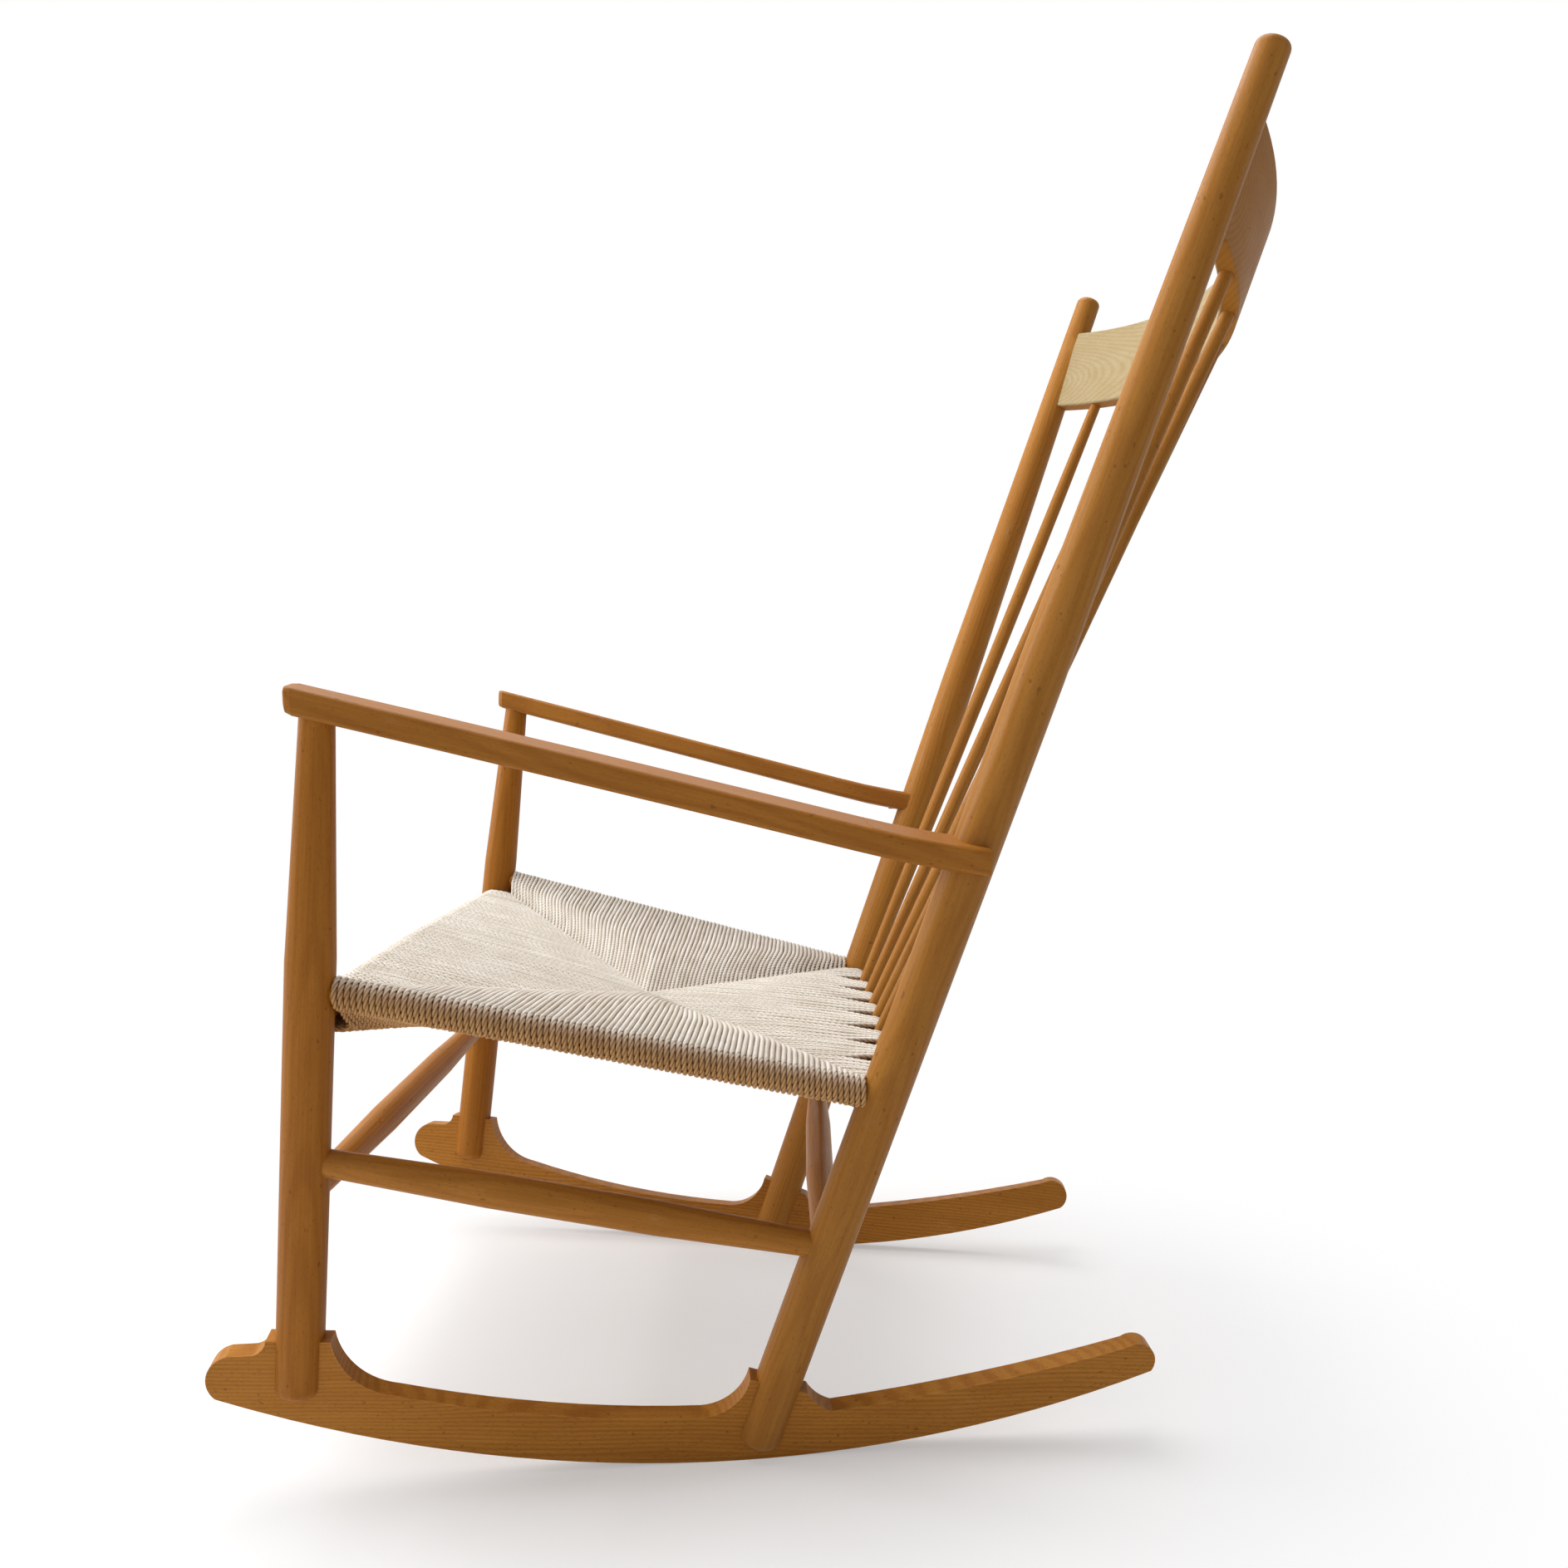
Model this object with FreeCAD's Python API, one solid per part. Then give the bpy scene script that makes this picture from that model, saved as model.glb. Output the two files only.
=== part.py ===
import FreeCAD, Part
import math
import os

from FreeCAD import Matrix, Placement, Rotation, Vector

# Rocking chair in turned beech with a woven paper-cord seat.
#
# Two flat side frames, each a rocker board with a front leg and a back post slotted over it, lean
# outward and draw together toward the back. Turned rails and stretchers tie them, a bowed crest
# rail and spindles make the back, and the cord is woven over the four seat rails.
#
# Millimetres, +Z up. The sitter faces -Y, with the left hand on +X. The origin is on the floor,
# midway between the lines where the two rockers touch it. A side frame has its own axes: X out of
# its plane, Y back along it, Z up it. Heights of legs, arms and rails are measured up that plane.

os.makedirs("parts", exist_ok=True)

# Stance of the side frames
HALF_TRACK = 201.4
SPLAY_ANGLE = 6.67
LEAN_ANGLE = 6.59

# Fits
JOINT_CLEARANCE = 0.15
CORD_CLEARANCE = 0.3
CUT_OVERRUN = 80.0

# Rocker board
ROCKER_RADIUS = 1017.0
ROCKER_DEPTH = 40.5
ROCKER_THICKNESS = 16.0
NOSE_REACH = 70.0
NOSE_ROUND = 17.0
NOSE_TOP_HEIGHT = 116.5
NOSE_FILLET = 13.0
TAIL_REACH = 311.5
TAIL_DEPTH = 37.5
TAIL_END_DEPTH = 31.0
TAIL_TOP_ROUND = 25.0
TAIL_BOTTOM_ROUND = 13.0
SHOULDER_LEDGE = 6.0
FRONT_SHOULDER_HEIGHT = 126.0
BACK_SHOULDER_HEIGHT = 65.0
FRONT_SHOULDER_FILLET = 46.0
BACK_SHOULDER_FILLET = 39.0
TAIL_SHOULDER_FILLET = 20.0

# Front leg
LEG_AXIS_START = -345.9
LEG_RAKE = 4.58
LEG_FOOT_HEIGHT = 79.0
LEG_RADIUS = 18.0
LEG_TOP_RADIUS = 12.3
LEG_TAPER_LENGTH = 180.0
LEG_TENON_RADIUS = 8.0
LEG_TENON_LENGTH = 12.0
LEG_HOUSING_DEPTH = 3.0
FOOT_EDGE_ROUND = 8.0

# Back post
POST_AXIS_START = 12.0
POST_RAKE = 18.37
POST_FOOT_HEIGHT = 13.0
POST_TOP_HEIGHT = 1073.0
POST_RADIUS = 18.6
POST_TOP_RADIUS = 12.75
POST_TAPER_LENGTH = 460.0
POST_TOP_ROUND = 6.0

# Armrest
ARM_FRONT_HEIGHT = 613.7
ARM_BEND_HEIGHT = 515.0
ARM_REAR_HEIGHT = 498.5
ARM_BEND_LENGTH = 82.0
ARM_THICKNESS = 20.3
ARM_FRONT_OVERHANG = 20.5
ARM_REAR_OVERHANG = 6.5
ARM_TIP_ROUND = 6.5
ARM_FRONT_OUTSIDE = 17.0
ARM_MIDDLE_OUTSIDE = 18.0
ARM_REAR_OUTSIDE = 29.5
ARM_FRONT_INSIDE = 13.0
ARM_MIDDLE_INSIDE = 21.0
ARM_REAR_INSIDE = 16.0
ARM_EDGE_ROUND = 4.0
ARM_PLANED_DEPTH = 0.1
ARM_STUB_RADIUS = 6.0
ARM_STUB_LENGTH = 13.0

# Seat rails, with the heights where they meet the legs and posts
RAIL_END_RADIUS = 9.0
SIDE_RAIL_RADIUS = 8.6
FRONT_RAIL_MIDDLE_RADIUS = 12.0
SIDE_RAIL_FRONT_HEIGHT = 406.0
SIDE_RAIL_REAR_HEIGHT = 307.0
FRONT_RAIL_HEIGHT = 381.5
REAR_RAIL_HEIGHT = 302.0
REAR_RAIL_BOW = 10.0
REAR_RAIL_FORWARD = 5.0
REAR_RAIL_FLAT_HEIGHT = 5.4

# Depth that rail and stretcher ends are let into legs and posts, less where two meet in a post
TENON_DEPTH = 12.0
REAR_TENON_DEPTH = 7.0

# Stretchers, with the heights where they meet the legs and posts
SIDE_STRETCHER_FRONT_HEIGHT = 271.5
SIDE_STRETCHER_REAR_HEIGHT = 181.0
SIDE_STRETCHER_END_RADIUS = 10.3
SIDE_STRETCHER_MIDDLE_RADIUS = 13.3
FRONT_STRETCHER_HEIGHT = 240.0
FRONT_STRETCHER_END_RADIUS = 10.0
FRONT_STRETCHER_MIDDLE_RADIUS = 13.6
REAR_STRETCHER_HEIGHT = 182.0
REAR_STRETCHER_FORWARD = 5.0
REAR_STRETCHER_END_RADIUS = 8.6
REAR_STRETCHER_MIDDLE_RADIUS = 12.5

# Crest rail
CREST_BOW = 75.5
CREST_THICKNESS = 16.0
CREST_BOTTOM = 999.0
CREST_HEIGHT = 85.0
CREST_EDGE_ROUND = 2.0
CREST_TENON_THICKNESS = 8.0
CREST_TENON_HEIGHT = 56.0
CREST_TENON_DEPTH = 16.0
CREST_HOUSING_DEPTH = 6.5

# Spindles
SPINDLE_COUNT = 7
SPINDLE_FOOT_PITCH = 50.0
SPINDLE_TOP_PITCH = 70.0
SPINDLE_END_RADIUS = 5.5
SPINDLE_MIDDLE_RADIUS = 7.4
SPINDLE_TENON_LENGTH = 12.0

# Woven seat
CORD_LAYER = 4.4
WRAP_SETBACK = 4.0
PANEL_SET_DOWN = 1.2
SEAT_CENTRE_BACK = -95.0
SEAT_CENTRE_HEIGHT = 334.0
SEAT_CENTRE_THICKNESS = 18.0

# Length of a stretcher's taper, as a share of the way to its middle
TAPER_SHARE = 0.65
# Middle point of each hollow beside a shoulder, as shares along it and of its rise
FRONT_HOLLOW_SHARES = (0.69, 0.36)
BACK_HOLLOW_SHARES = (0.71, 0.36)
NOSE_HOLLOW_SHARES = (0.75, 0.35)
TAIL_HOLLOW_SHARES = (0.62, 0.43)
# Height of the nose's and the tail's foremost point, as a share of the board's depth there
NOSE_TIP_SHARE = 0.5
TAIL_TIP_SHARE = 0.5
# Places along the arm where its widths are set, and its cross-sections, as shares of its length
ARM_WIDTH_SHARES = (0.0, 0.42, 1.0)
ARM_SECTION_SHARES = (0.2, 0.42, 0.64, 0.8, 0.87, 0.94, 1.0)
# Steps of the arm's rounded front end, as shares of a right angle
ARM_TIP_SHARES = (0.0, 0.5, 1.0)

ORIGIN = Vector(0, 0, 0)
UP = Vector(0, 0, 1)
ACROSS = Vector(1, 0, 0)
HALF_RIGHT_ANGLE = math.radians(45)


def axes_placement(base, first, second, third):
    """Placement at base whose X, Y and Z run along the three given directions."""
    return Placement(Matrix(
        first.x, second.x, third.x, base.x,
        first.y, second.y, third.y, base.y,
        first.z, second.z, third.z, base.z,
        0, 0, 0, 1,
    ))


def side_frame():
    """Placement of the left side frame: X out of its plane, Y back along it, Z up it."""
    splay = math.tan(math.radians(SPLAY_ANGLE))
    lean = math.tan(math.radians(LEAN_ANGLE))
    out = Vector(1, splay, -lean).normalize()
    back = Vector(-splay, 1, 0).normalize()
    return axes_placement(Vector(HALF_TRACK, 0, 0), out, back, out.cross(back))


SIDE = side_frame()


def leg_axis(height):
    """Point of the front leg's axis, in the side frame."""
    return Vector(0, LEG_AXIS_START + height * math.tan(math.radians(LEG_RAKE)), height)


def post_axis(height):
    """Point of the back post's axis, in the side frame."""
    return Vector(0, POST_AXIS_START + height * math.tan(math.radians(POST_RAKE)), height)


def leg_place(height):
    """Point of the left front leg's axis, in the chair's frame."""
    return SIDE.multVec(leg_axis(height))


def post_place(height):
    """Point of the left back post's axis, in the chair's frame."""
    return SIDE.multVec(post_axis(height))


def flipped(point):
    """The same point on the chair's right side."""
    return Vector(-point.x, point.y, point.z)


def mirrored(shape):
    """The same piece for the chair's right side."""
    return shape.mirror(ORIGIN, ACROSS)


def placed(shape, placement):
    """A copy of shape moved by placement."""
    moved = shape.copy()
    moved.Placement = placement.multiply(moved.Placement)
    return moved


def line(start, end):
    """Straight edge."""
    return Part.LineSegment(start, end).toShape()


def arc(start, middle, end):
    """Circular edge through three points."""
    return Part.Arc(start, middle, end).toShape()


def slab(edges, sweep):
    """Solid swept straight from a closed outline."""
    return Part.Face(Part.Wire(edges)).extrude(sweep)


def frame_on(start, end):
    """Placement at start whose Z runs toward end."""
    return Placement(start, Rotation(UP, end.sub(start)))


def rod(start, end, radius):
    """Plain cylinder from start to end."""
    solid = Part.makeCylinder(radius, end.sub(start).Length)
    solid.Placement = frame_on(start, end)
    return solid


def turned(profile, start, end):
    """Solid turned about the line from start to end; profile holds radius as X and run as Z."""
    solid = Part.Face(Part.Wire(profile)).revolve(ORIGIN, UP, 360)
    solid.Placement = frame_on(start, end)
    return solid


def lines(points):
    """Straight edges from point to point."""
    return [line(start, end) for start, end in zip(points, points[1:]) if start != end]


def barrel(start, end, end_radius, middle_radius, straight=0.0):
    """Turned rod that swells evenly to its middle, with a straight stretch at each end."""
    length = end.sub(start).Length
    low = Vector(end_radius, 0, straight)
    high = Vector(end_radius, 0, length - straight)
    profile = lines([ORIGIN, Vector(end_radius, 0, 0), low])
    profile.append(arc(low, Vector(middle_radius, 0, length / 2), high))
    profile += lines([high, Vector(end_radius, 0, length), Vector(0, 0, length), ORIGIN])
    return turned(profile, start, end)


def tapered(start, end, end_radius, middle_radius, straight=0.0):
    """Turned rod with a straight middle that tapers to a straight stretch at each end."""
    length = end.sub(start).Length
    taper_end = straight + (length / 2 - straight) * TAPER_SHARE
    runs = [(0, 0), (end_radius, 0), (end_radius, straight), (middle_radius, taper_end)]
    below = [Vector(radius, 0, run) for radius, run in runs]
    above = [Vector(radius, 0, length - run) for radius, run in reversed(runs)]
    return turned(lines(below + above + [ORIGIN]), start, end)


def rounded_foot(radius):
    """Lower end of a leg's profile: a flat end with its edge rounded."""
    inset = FOOT_EDGE_ROUND * (1 - math.sin(HALF_RIGHT_ANGLE))
    flat_end = Vector(radius - FOOT_EDGE_ROUND, 0, 0)
    return [
        line(ORIGIN, flat_end),
        arc(flat_end, Vector(radius - inset, 0, inset), Vector(radius, 0, FOOT_EDGE_ROUND)),
    ]


def front_leg_blank(grow=0.0):
    """The left front leg before its joints, up into the armrest's housing, in the chair's frame."""
    start = leg_place(LEG_FOOT_HEIGHT)
    end = leg_place(ARM_FRONT_HEIGHT - ARM_THICKNESS / 2 + LEG_HOUSING_DEPTH + grow)
    length = end.sub(start).Length
    radius = LEG_RADIUS + grow
    foot = Vector(radius, 0, FOOT_EDGE_ROUND)
    low = Vector(radius, 0, length - LEG_TAPER_LENGTH)
    high = Vector(LEG_TOP_RADIUS + grow, 0, length)
    return turned(rounded_foot(radius) + lines([foot, low, high, Vector(0, 0, length), ORIGIN]), start, end)


def back_post_blank(grow=0.0):
    """The left back post before its joints, in the chair's frame."""
    start, end = post_place(POST_FOOT_HEIGHT), post_place(POST_TOP_HEIGHT)
    length = end.sub(start).Length
    radius = POST_RADIUS + grow
    top_radius = POST_TOP_RADIUS + grow
    inset = POST_TOP_ROUND * (1 - math.sin(HALF_RIGHT_ANGLE))
    foot = Vector(radius, 0, FOOT_EDGE_ROUND)
    low = Vector(radius, 0, length - POST_TAPER_LENGTH)
    high = Vector(top_radius, 0, length - POST_TOP_ROUND)
    bend = Vector(top_radius - inset, 0, length - inset)
    flat_end = Vector(top_radius - POST_TOP_ROUND, 0, length)
    top = Vector(0, 0, length)
    profile = rounded_foot(radius) + lines([foot, low, high]) + [arc(high, bend, flat_end)]
    return turned(profile + lines([flat_end, top, ORIGIN]), start, end)


def bridle_slot(axis_point, rake, radius):
    """Slot that straddles the rocker board, in the chair's frame, up to its shoulder."""
    half = ROCKER_THICKNESS / 2 + JOINT_CLEARANCE
    reach = radius + CUT_OVERRUN
    slot = Part.makeBox(2 * half, 2 * reach, reach + JOINT_CLEARANCE, Vector(-half, -reach, -reach))
    slot.Placement = Placement(axis_point, Rotation(ACROSS, -rake))
    return placed(slot, SIDE)


def underside(back):
    """Height of the rocker's underside at a place along the side frame."""
    return ROCKER_RADIUS - math.sqrt(ROCKER_RADIUS ** 2 - back ** 2)


def shoulder_ends(point, rake, radius):
    """Front and rear ends of the shoulder that a leg sits on, square to the leg."""
    reach = radius + SHOULDER_LEDGE
    angle = math.radians(rake)
    step = Vector(0, reach * math.cos(angle), -reach * math.sin(angle))
    return point.sub(step), point.add(step)


def hollow(low_end, high_end, shares):
    """Concave arc up to a shoulder, bent through a point at the given shares."""
    along, rise = shares
    run = high_end.sub(low_end)
    return arc(low_end, low_end.add(Vector(0, run.y * along, run.z * rise)), high_end)


def rocker_outline():
    """Side view of the rocker board in its frame, its underside a little below the floor arc."""
    front = shoulder_ends(leg_axis(FRONT_SHOULDER_HEIGHT), LEG_RAKE, LEG_RADIUS)
    rear = shoulder_ends(post_axis(BACK_SHOULDER_HEIGHT), POST_RAKE, POST_RADIUS)
    level = ROCKER_THICKNESS * math.tan(math.radians(LEAN_ANGLE))

    def rise(back, depth):
        return Vector(0, back, underside(back) + depth)

    nose = leg_axis(FRONT_SHOULDER_HEIGHT).y - NOSE_REACH
    nose_low = rise(nose + NOSE_ROUND, -level)
    nose_high = Vector(0, nose + NOSE_ROUND, NOSE_TOP_HEIGHT)
    nose_tip = Vector(0, nose, nose_low.z + (nose_high.z - nose_low.z) * NOSE_TIP_SHARE)
    nose_shelf = Vector(0, front[0].y - NOSE_FILLET, NOSE_TOP_HEIGHT)
    belly_start = rise(front[1].y + FRONT_SHOULDER_FILLET, ROCKER_DEPTH)
    belly_end = rise(rear[0].y - BACK_SHOULDER_FILLET, ROCKER_DEPTH)
    belly_middle = rise((belly_start.y + belly_end.y) / 2, ROCKER_DEPTH)
    tail = post_axis(BACK_SHOULDER_HEIGHT).y + TAIL_REACH
    tail_start = rise(rear[1].y + TAIL_SHOULDER_FILLET, TAIL_DEPTH)
    tail_high = rise(tail - TAIL_TOP_ROUND, TAIL_END_DEPTH)
    tail_middle = rise((tail_start.y + tail_high.y) / 2, TAIL_DEPTH)
    tail_low = rise(tail - TAIL_BOTTOM_ROUND, -level)
    tail_tip = Vector(0, tail, tail_low.z + (tail_high.z - tail_low.z) * TAIL_TIP_SHARE)
    return Part.Wire(Part.__sortEdges__([
        arc(nose_low, nose_tip, nose_high),
        line(nose_high, nose_shelf),
        hollow(nose_shelf, front[0], NOSE_HOLLOW_SHARES),
        line(front[0], front[1]),
        hollow(belly_start, front[1], FRONT_HOLLOW_SHARES),
        arc(belly_start, belly_middle, belly_end),
        hollow(belly_end, rear[0], BACK_HOLLOW_SHARES),
        line(rear[0], rear[1]),
        hollow(tail_start, rear[1], TAIL_HOLLOW_SHARES),
        arc(tail_start, tail_middle, tail_high),
        arc(tail_high, tail_tip, tail_low),
        arc(tail_low, rise(0, -level), nose_low),
    ]))


def make_rocker():
    """Left rocker board, its underside level across, so that it meets the floor along a line."""
    outline = rocker_outline()
    outline.translate(Vector(-ROCKER_THICKNESS / 2, 0, 0))
    board = placed(Part.Face(outline).extrude(Vector(ROCKER_THICKNESS, 0, 0)), SIDE)
    reach = HALF_TRACK + ROCKER_RADIUS
    wheel = Part.makeCylinder(ROCKER_RADIUS, 2 * reach, Vector(-reach, 0, ROCKER_RADIUS), ACROSS)
    return board.common(wheel)


def arm_bend():
    """Front tip and rear end of the arm's middle line, its straight part's slope and its bend."""
    leg = leg_axis(ARM_FRONT_HEIGHT)
    post = post_axis(ARM_REAR_HEIGHT)
    bend = Vector(0, post.y - ARM_BEND_LENGTH, ARM_BEND_HEIGHT)
    slope = (bend.z - leg.z) / (bend.y - leg.y)
    return leg.y - ARM_FRONT_OVERHANG, post.y + ARM_REAR_OVERHANG, slope, bend


def arm_height(back):
    """Height of the arm's middle line: straight to the bend, then levelling off to the post."""
    _, rear, slope, bend = arm_bend()
    run = max(back - bend.y, 0) / (rear - bend.y)
    lift = ARM_REAR_HEIGHT - bend.z - slope * (rear - bend.y)
    return bend.z + slope * (back - bend.y) + lift * run ** 2


def arm_width(along, widths):
    """Width to one side of the arm's middle line, on the curve through the three given widths."""
    low, middle, high = ARM_WIDTH_SHARES
    first, second, third = widths
    rise = (second - first) / (middle - low)
    turn = ((third - second) / (high - middle) - rise) / (high - low)
    return first + rise * (along - low) + turn * (along - low) * (along - middle)


def rounded_section(left, right, low, high, radius):
    """Closed rectangle with round corners, X across and Z up."""
    bulge = radius * (1 - math.sin(HALF_RIGHT_ANGLE))

    def corner(across, up, toward_across, toward_up):
        flat = Vector(across + radius * toward_across, 0, up)
        bend = Vector(across + bulge * toward_across, 0, up + bulge * toward_up)
        wall = Vector(across, 0, up + radius * toward_up)
        return flat, bend, wall

    first = corner(left, high, 1, -1)
    second = corner(left, low, 1, 1)
    third = corner(right, low, -1, 1)
    fourth = corner(right, high, -1, -1)
    return Part.Wire([
        arc(*first),
        line(first[2], second[2]),
        arc(*second[::-1]),
        line(second[0], third[0]),
        arc(*third),
        line(third[2], fourth[2]),
        arc(*fourth[::-1]),
        line(fourth[0], first[0]),
    ])


def arm_section(back, inset):
    """Cross-section of the arm at a place along it, drawn in by inset."""
    front, rear, _, _ = arm_bend()
    along = (back - front) / (rear - front)
    outside = arm_width(along, (ARM_FRONT_OUTSIDE, ARM_MIDDLE_OUTSIDE, ARM_REAR_OUTSIDE)) - inset
    inside = inset - arm_width(along, (ARM_FRONT_INSIDE, ARM_MIDDLE_INSIDE, ARM_REAR_INSIDE))
    half = (ARM_THICKNESS - inset) / 2
    middle = arm_height(back)
    section = rounded_section(inside, outside, middle - half, middle + half, ARM_EDGE_ROUND)
    section.translate(Vector(0, back, 0))
    return section


def arm_stub(grow=0.0):
    """Round stub on the arm's coped end, in the chair's frame."""
    post = post_axis(ARM_REAR_HEIGHT)
    face = post.y - POST_RADIUS
    start = Vector(0, face - ARM_STUB_LENGTH, post.z)
    end = Vector(0, face + ARM_STUB_LENGTH + grow, post.z)
    return placed(rod(start, end, ARM_STUB_RADIUS + grow), SIDE)


def leg_tenon(grow=0.0):
    """Round tenon on the front leg's top, inside the armrest."""
    underside_height = ARM_FRONT_HEIGHT - ARM_THICKNESS / 2
    start = leg_place(underside_height)
    end = leg_place(underside_height + LEG_TENON_LENGTH + grow)
    return rod(start, end, LEG_TENON_RADIUS + grow)


def arm_top_waste():
    """What is planed off above the arm's straight part, in the side frame, so that its top is flat."""
    front, _, slope, bend = arm_bend()
    length = bend.y - front + CUT_OVERRUN
    waste = Part.makeBox(2 * CUT_OVERRUN, length, CUT_OVERRUN, Vector(-CUT_OVERRUN, -length, 0))
    place = Vector(0, bend.y, bend.z + ARM_THICKNESS / 2 - ARM_PLANED_DEPTH)
    waste.Placement = Placement(place, Rotation(ACROSS, math.degrees(math.atan(slope))))
    return waste


def make_armrest():
    """Left armrest: shaped through its cross-sections, bored for the leg and coped round the post."""
    front, rear, _, _ = arm_bend()
    sections = []
    for share in ARM_TIP_SHARES:
        angle = math.radians(90 * share)
        back = front + ARM_TIP_ROUND * (1 - math.cos(angle))
        sections.append(arm_section(back, ARM_TIP_ROUND * (1 - math.sin(angle))))
    sections += [arm_section(front + (rear - front) * share, 0) for share in ARM_SECTION_SHARES]
    blank = placed(Part.makeLoft(sections, True, True).cut(arm_top_waste()), SIDE)
    coped = blank.cut(back_post_blank(JOINT_CLEARANCE)).fuse(arm_stub())
    return coped.cut([front_leg_blank(JOINT_CLEARANCE), leg_tenon(JOINT_CLEARANCE)])


def make_leg(mortises):
    """Left front leg, slotted over the rocker, with its tenon for the armrest."""
    leg = front_leg_blank()
    leg = leg.cut(bridle_slot(leg_axis(FRONT_SHOULDER_HEIGHT), LEG_RAKE, LEG_RADIUS))
    return leg.fuse(leg_tenon()).cut(mortises).removeSplitter()


def make_post(mortises):
    """Left back post, slotted over the rocker, mortised for the arm and the crest rail."""
    post = back_post_blank()
    post = post.cut(bridle_slot(post_axis(BACK_SHOULDER_HEIGHT), POST_RAKE, POST_RADIUS))
    post = post.cut([arm_stub(JOINT_CLEARANCE), crest_board(JOINT_CLEARANCE), crest_tenon(JOINT_CLEARANCE)])
    return post.cut(mortises).removeSplitter()


def turned_rail(start, end, end_radius, middle_radius, members, depth):
    """Turned rail between two round members, and the mortise that it needs in each of them."""
    inward = end.sub(start).normalize()
    first_tip = start.add(inward * (members[0] - depth))
    last_tip = end.sub(inward * (members[1] - depth))
    rail = tapered(first_tip, last_tip, end_radius, middle_radius, depth).removeSplitter()
    margin = inward * JOINT_CLEARANCE
    reach = inward * (2 * depth)
    first_mortise = rod(first_tip.sub(margin), first_tip.add(reach), end_radius + JOINT_CLEARANCE)
    last_mortise = rod(last_tip.add(margin), last_tip.sub(reach), end_radius + JOINT_CLEARANCE)
    return rail, (first_mortise, last_mortise)


def bowed_rod(start, end, bow, radius):
    """Round rod along a level arc from start to end, bowed back at its middle."""
    half = end.sub(start).Length / 2
    bend = (half ** 2 + bow ** 2) / (2 * bow)
    angle = math.degrees(math.asin(half / bend))
    crown = Vector(0, start.y + bow, start.z)
    centre = crown.sub(Vector(0, bend, 0))
    section = Part.Face(Part.Wire([Part.makeCircle(radius, crown, ACROSS)]))
    section.rotate(centre, UP, -angle)
    return section.revolve(centre, UP, 2 * angle)


def bow_at(across, start, bow):
    """Point of a bowed rail's middle line at a place across the chair."""
    half = abs(start.x)
    bend = (half ** 2 + bow ** 2) / (2 * bow)
    return Vector(across, start.y + bow - bend + math.sqrt(bend ** 2 - across ** 2), start.z)


def make_rear_rail(end, sockets):
    """Bowed rear rail, its top planed flat for the spindles, and its left member's mortise."""
    tip = bow_at(end.x - POST_RADIUS + REAR_TENON_DEPTH, end, REAR_RAIL_BOW)
    deep = bow_at(tip.x + JOINT_CLEARANCE, end, REAR_RAIL_BOW)
    crown = bow_at(0, end, REAR_RAIL_BOW)
    body = bowed_rod(flipped(tip), tip, crown.y - tip.y, RAIL_END_RADIUS)
    mortise = bowed_rod(flipped(deep), deep, crown.y - deep.y, RAIL_END_RADIUS + JOINT_CLEARANCE)
    corner = Vector(-deep.x, tip.y - CUT_OVERRUN, end.z + REAR_RAIL_FLAT_HEIGHT)
    planed = Part.makeBox(2 * deep.x, 2 * CUT_OVERRUN, CUT_OVERRUN, corner)
    return body.cut([planed] + sockets).removeSplitter(), mortise


def back_frame():
    """Placement of the plane that holds both back posts' axes: Y behind it, Z up it."""
    low, high = post_place(0), post_place(POST_TOP_HEIGHT)
    rise = Vector(0, high.y - low.y, high.z - low.z).normalize()
    return axes_placement(Vector(0, low.y, low.z), ACROSS, rise.cross(ACROSS), rise)


BACK = back_frame()


def post_inner_face(height):
    """Distance from the chair's middle to a back post, at a height up the back plane."""
    low, high = post_place(0), post_place(POST_TOP_HEIGHT)
    length = high.sub(low).Length
    along = length * height / math.hypot(high.y - low.y, high.z - low.z)
    taper = max(along - (length - POST_TAPER_LENGTH), 0) / POST_TAPER_LENGTH
    radius = POST_RADIUS - (POST_RADIUS - POST_TOP_RADIUS) * taper
    return low.x + (high.x - low.x) * along / length - radius


CREST_HALF_SPAN = post_inner_face(CREST_BOTTOM + CREST_HEIGHT / 2)
CREST_FRONT_RADIUS = (CREST_HALF_SPAN ** 2 + CREST_BOW ** 2) / (2 * CREST_BOW)
CREST_MIDDLE_RADIUS = CREST_FRONT_RADIUS + CREST_THICKNESS / 2


def crest_point(across, height, radius):
    """Point of the crest's arc of the given radius, in the back plane's frame."""
    return Vector(across, CREST_BOW - CREST_FRONT_RADIUS + math.sqrt(radius ** 2 - across ** 2), height)


def crest_tenon(grow=0.0):
    """Blade on the crest's left end, in the chair's frame."""
    end = crest_point(CREST_HALF_SPAN, CREST_BOTTOM + CREST_HEIGHT / 2, CREST_MIDDLE_RADIUS)
    angle = math.degrees(math.asin(CREST_HALF_SPAN / CREST_MIDDLE_RADIUS))
    thick = CREST_TENON_THICKNESS + 2 * grow
    tall = CREST_TENON_HEIGHT + 2 * grow
    corner = Vector(-CREST_TENON_DEPTH, -thick / 2, -tall / 2)
    blade = Part.makeBox(2 * CREST_TENON_DEPTH + grow, thick, tall, corner)
    blade.Placement = Placement(end, Rotation(UP, -angle))
    return placed(blade, BACK)


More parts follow.
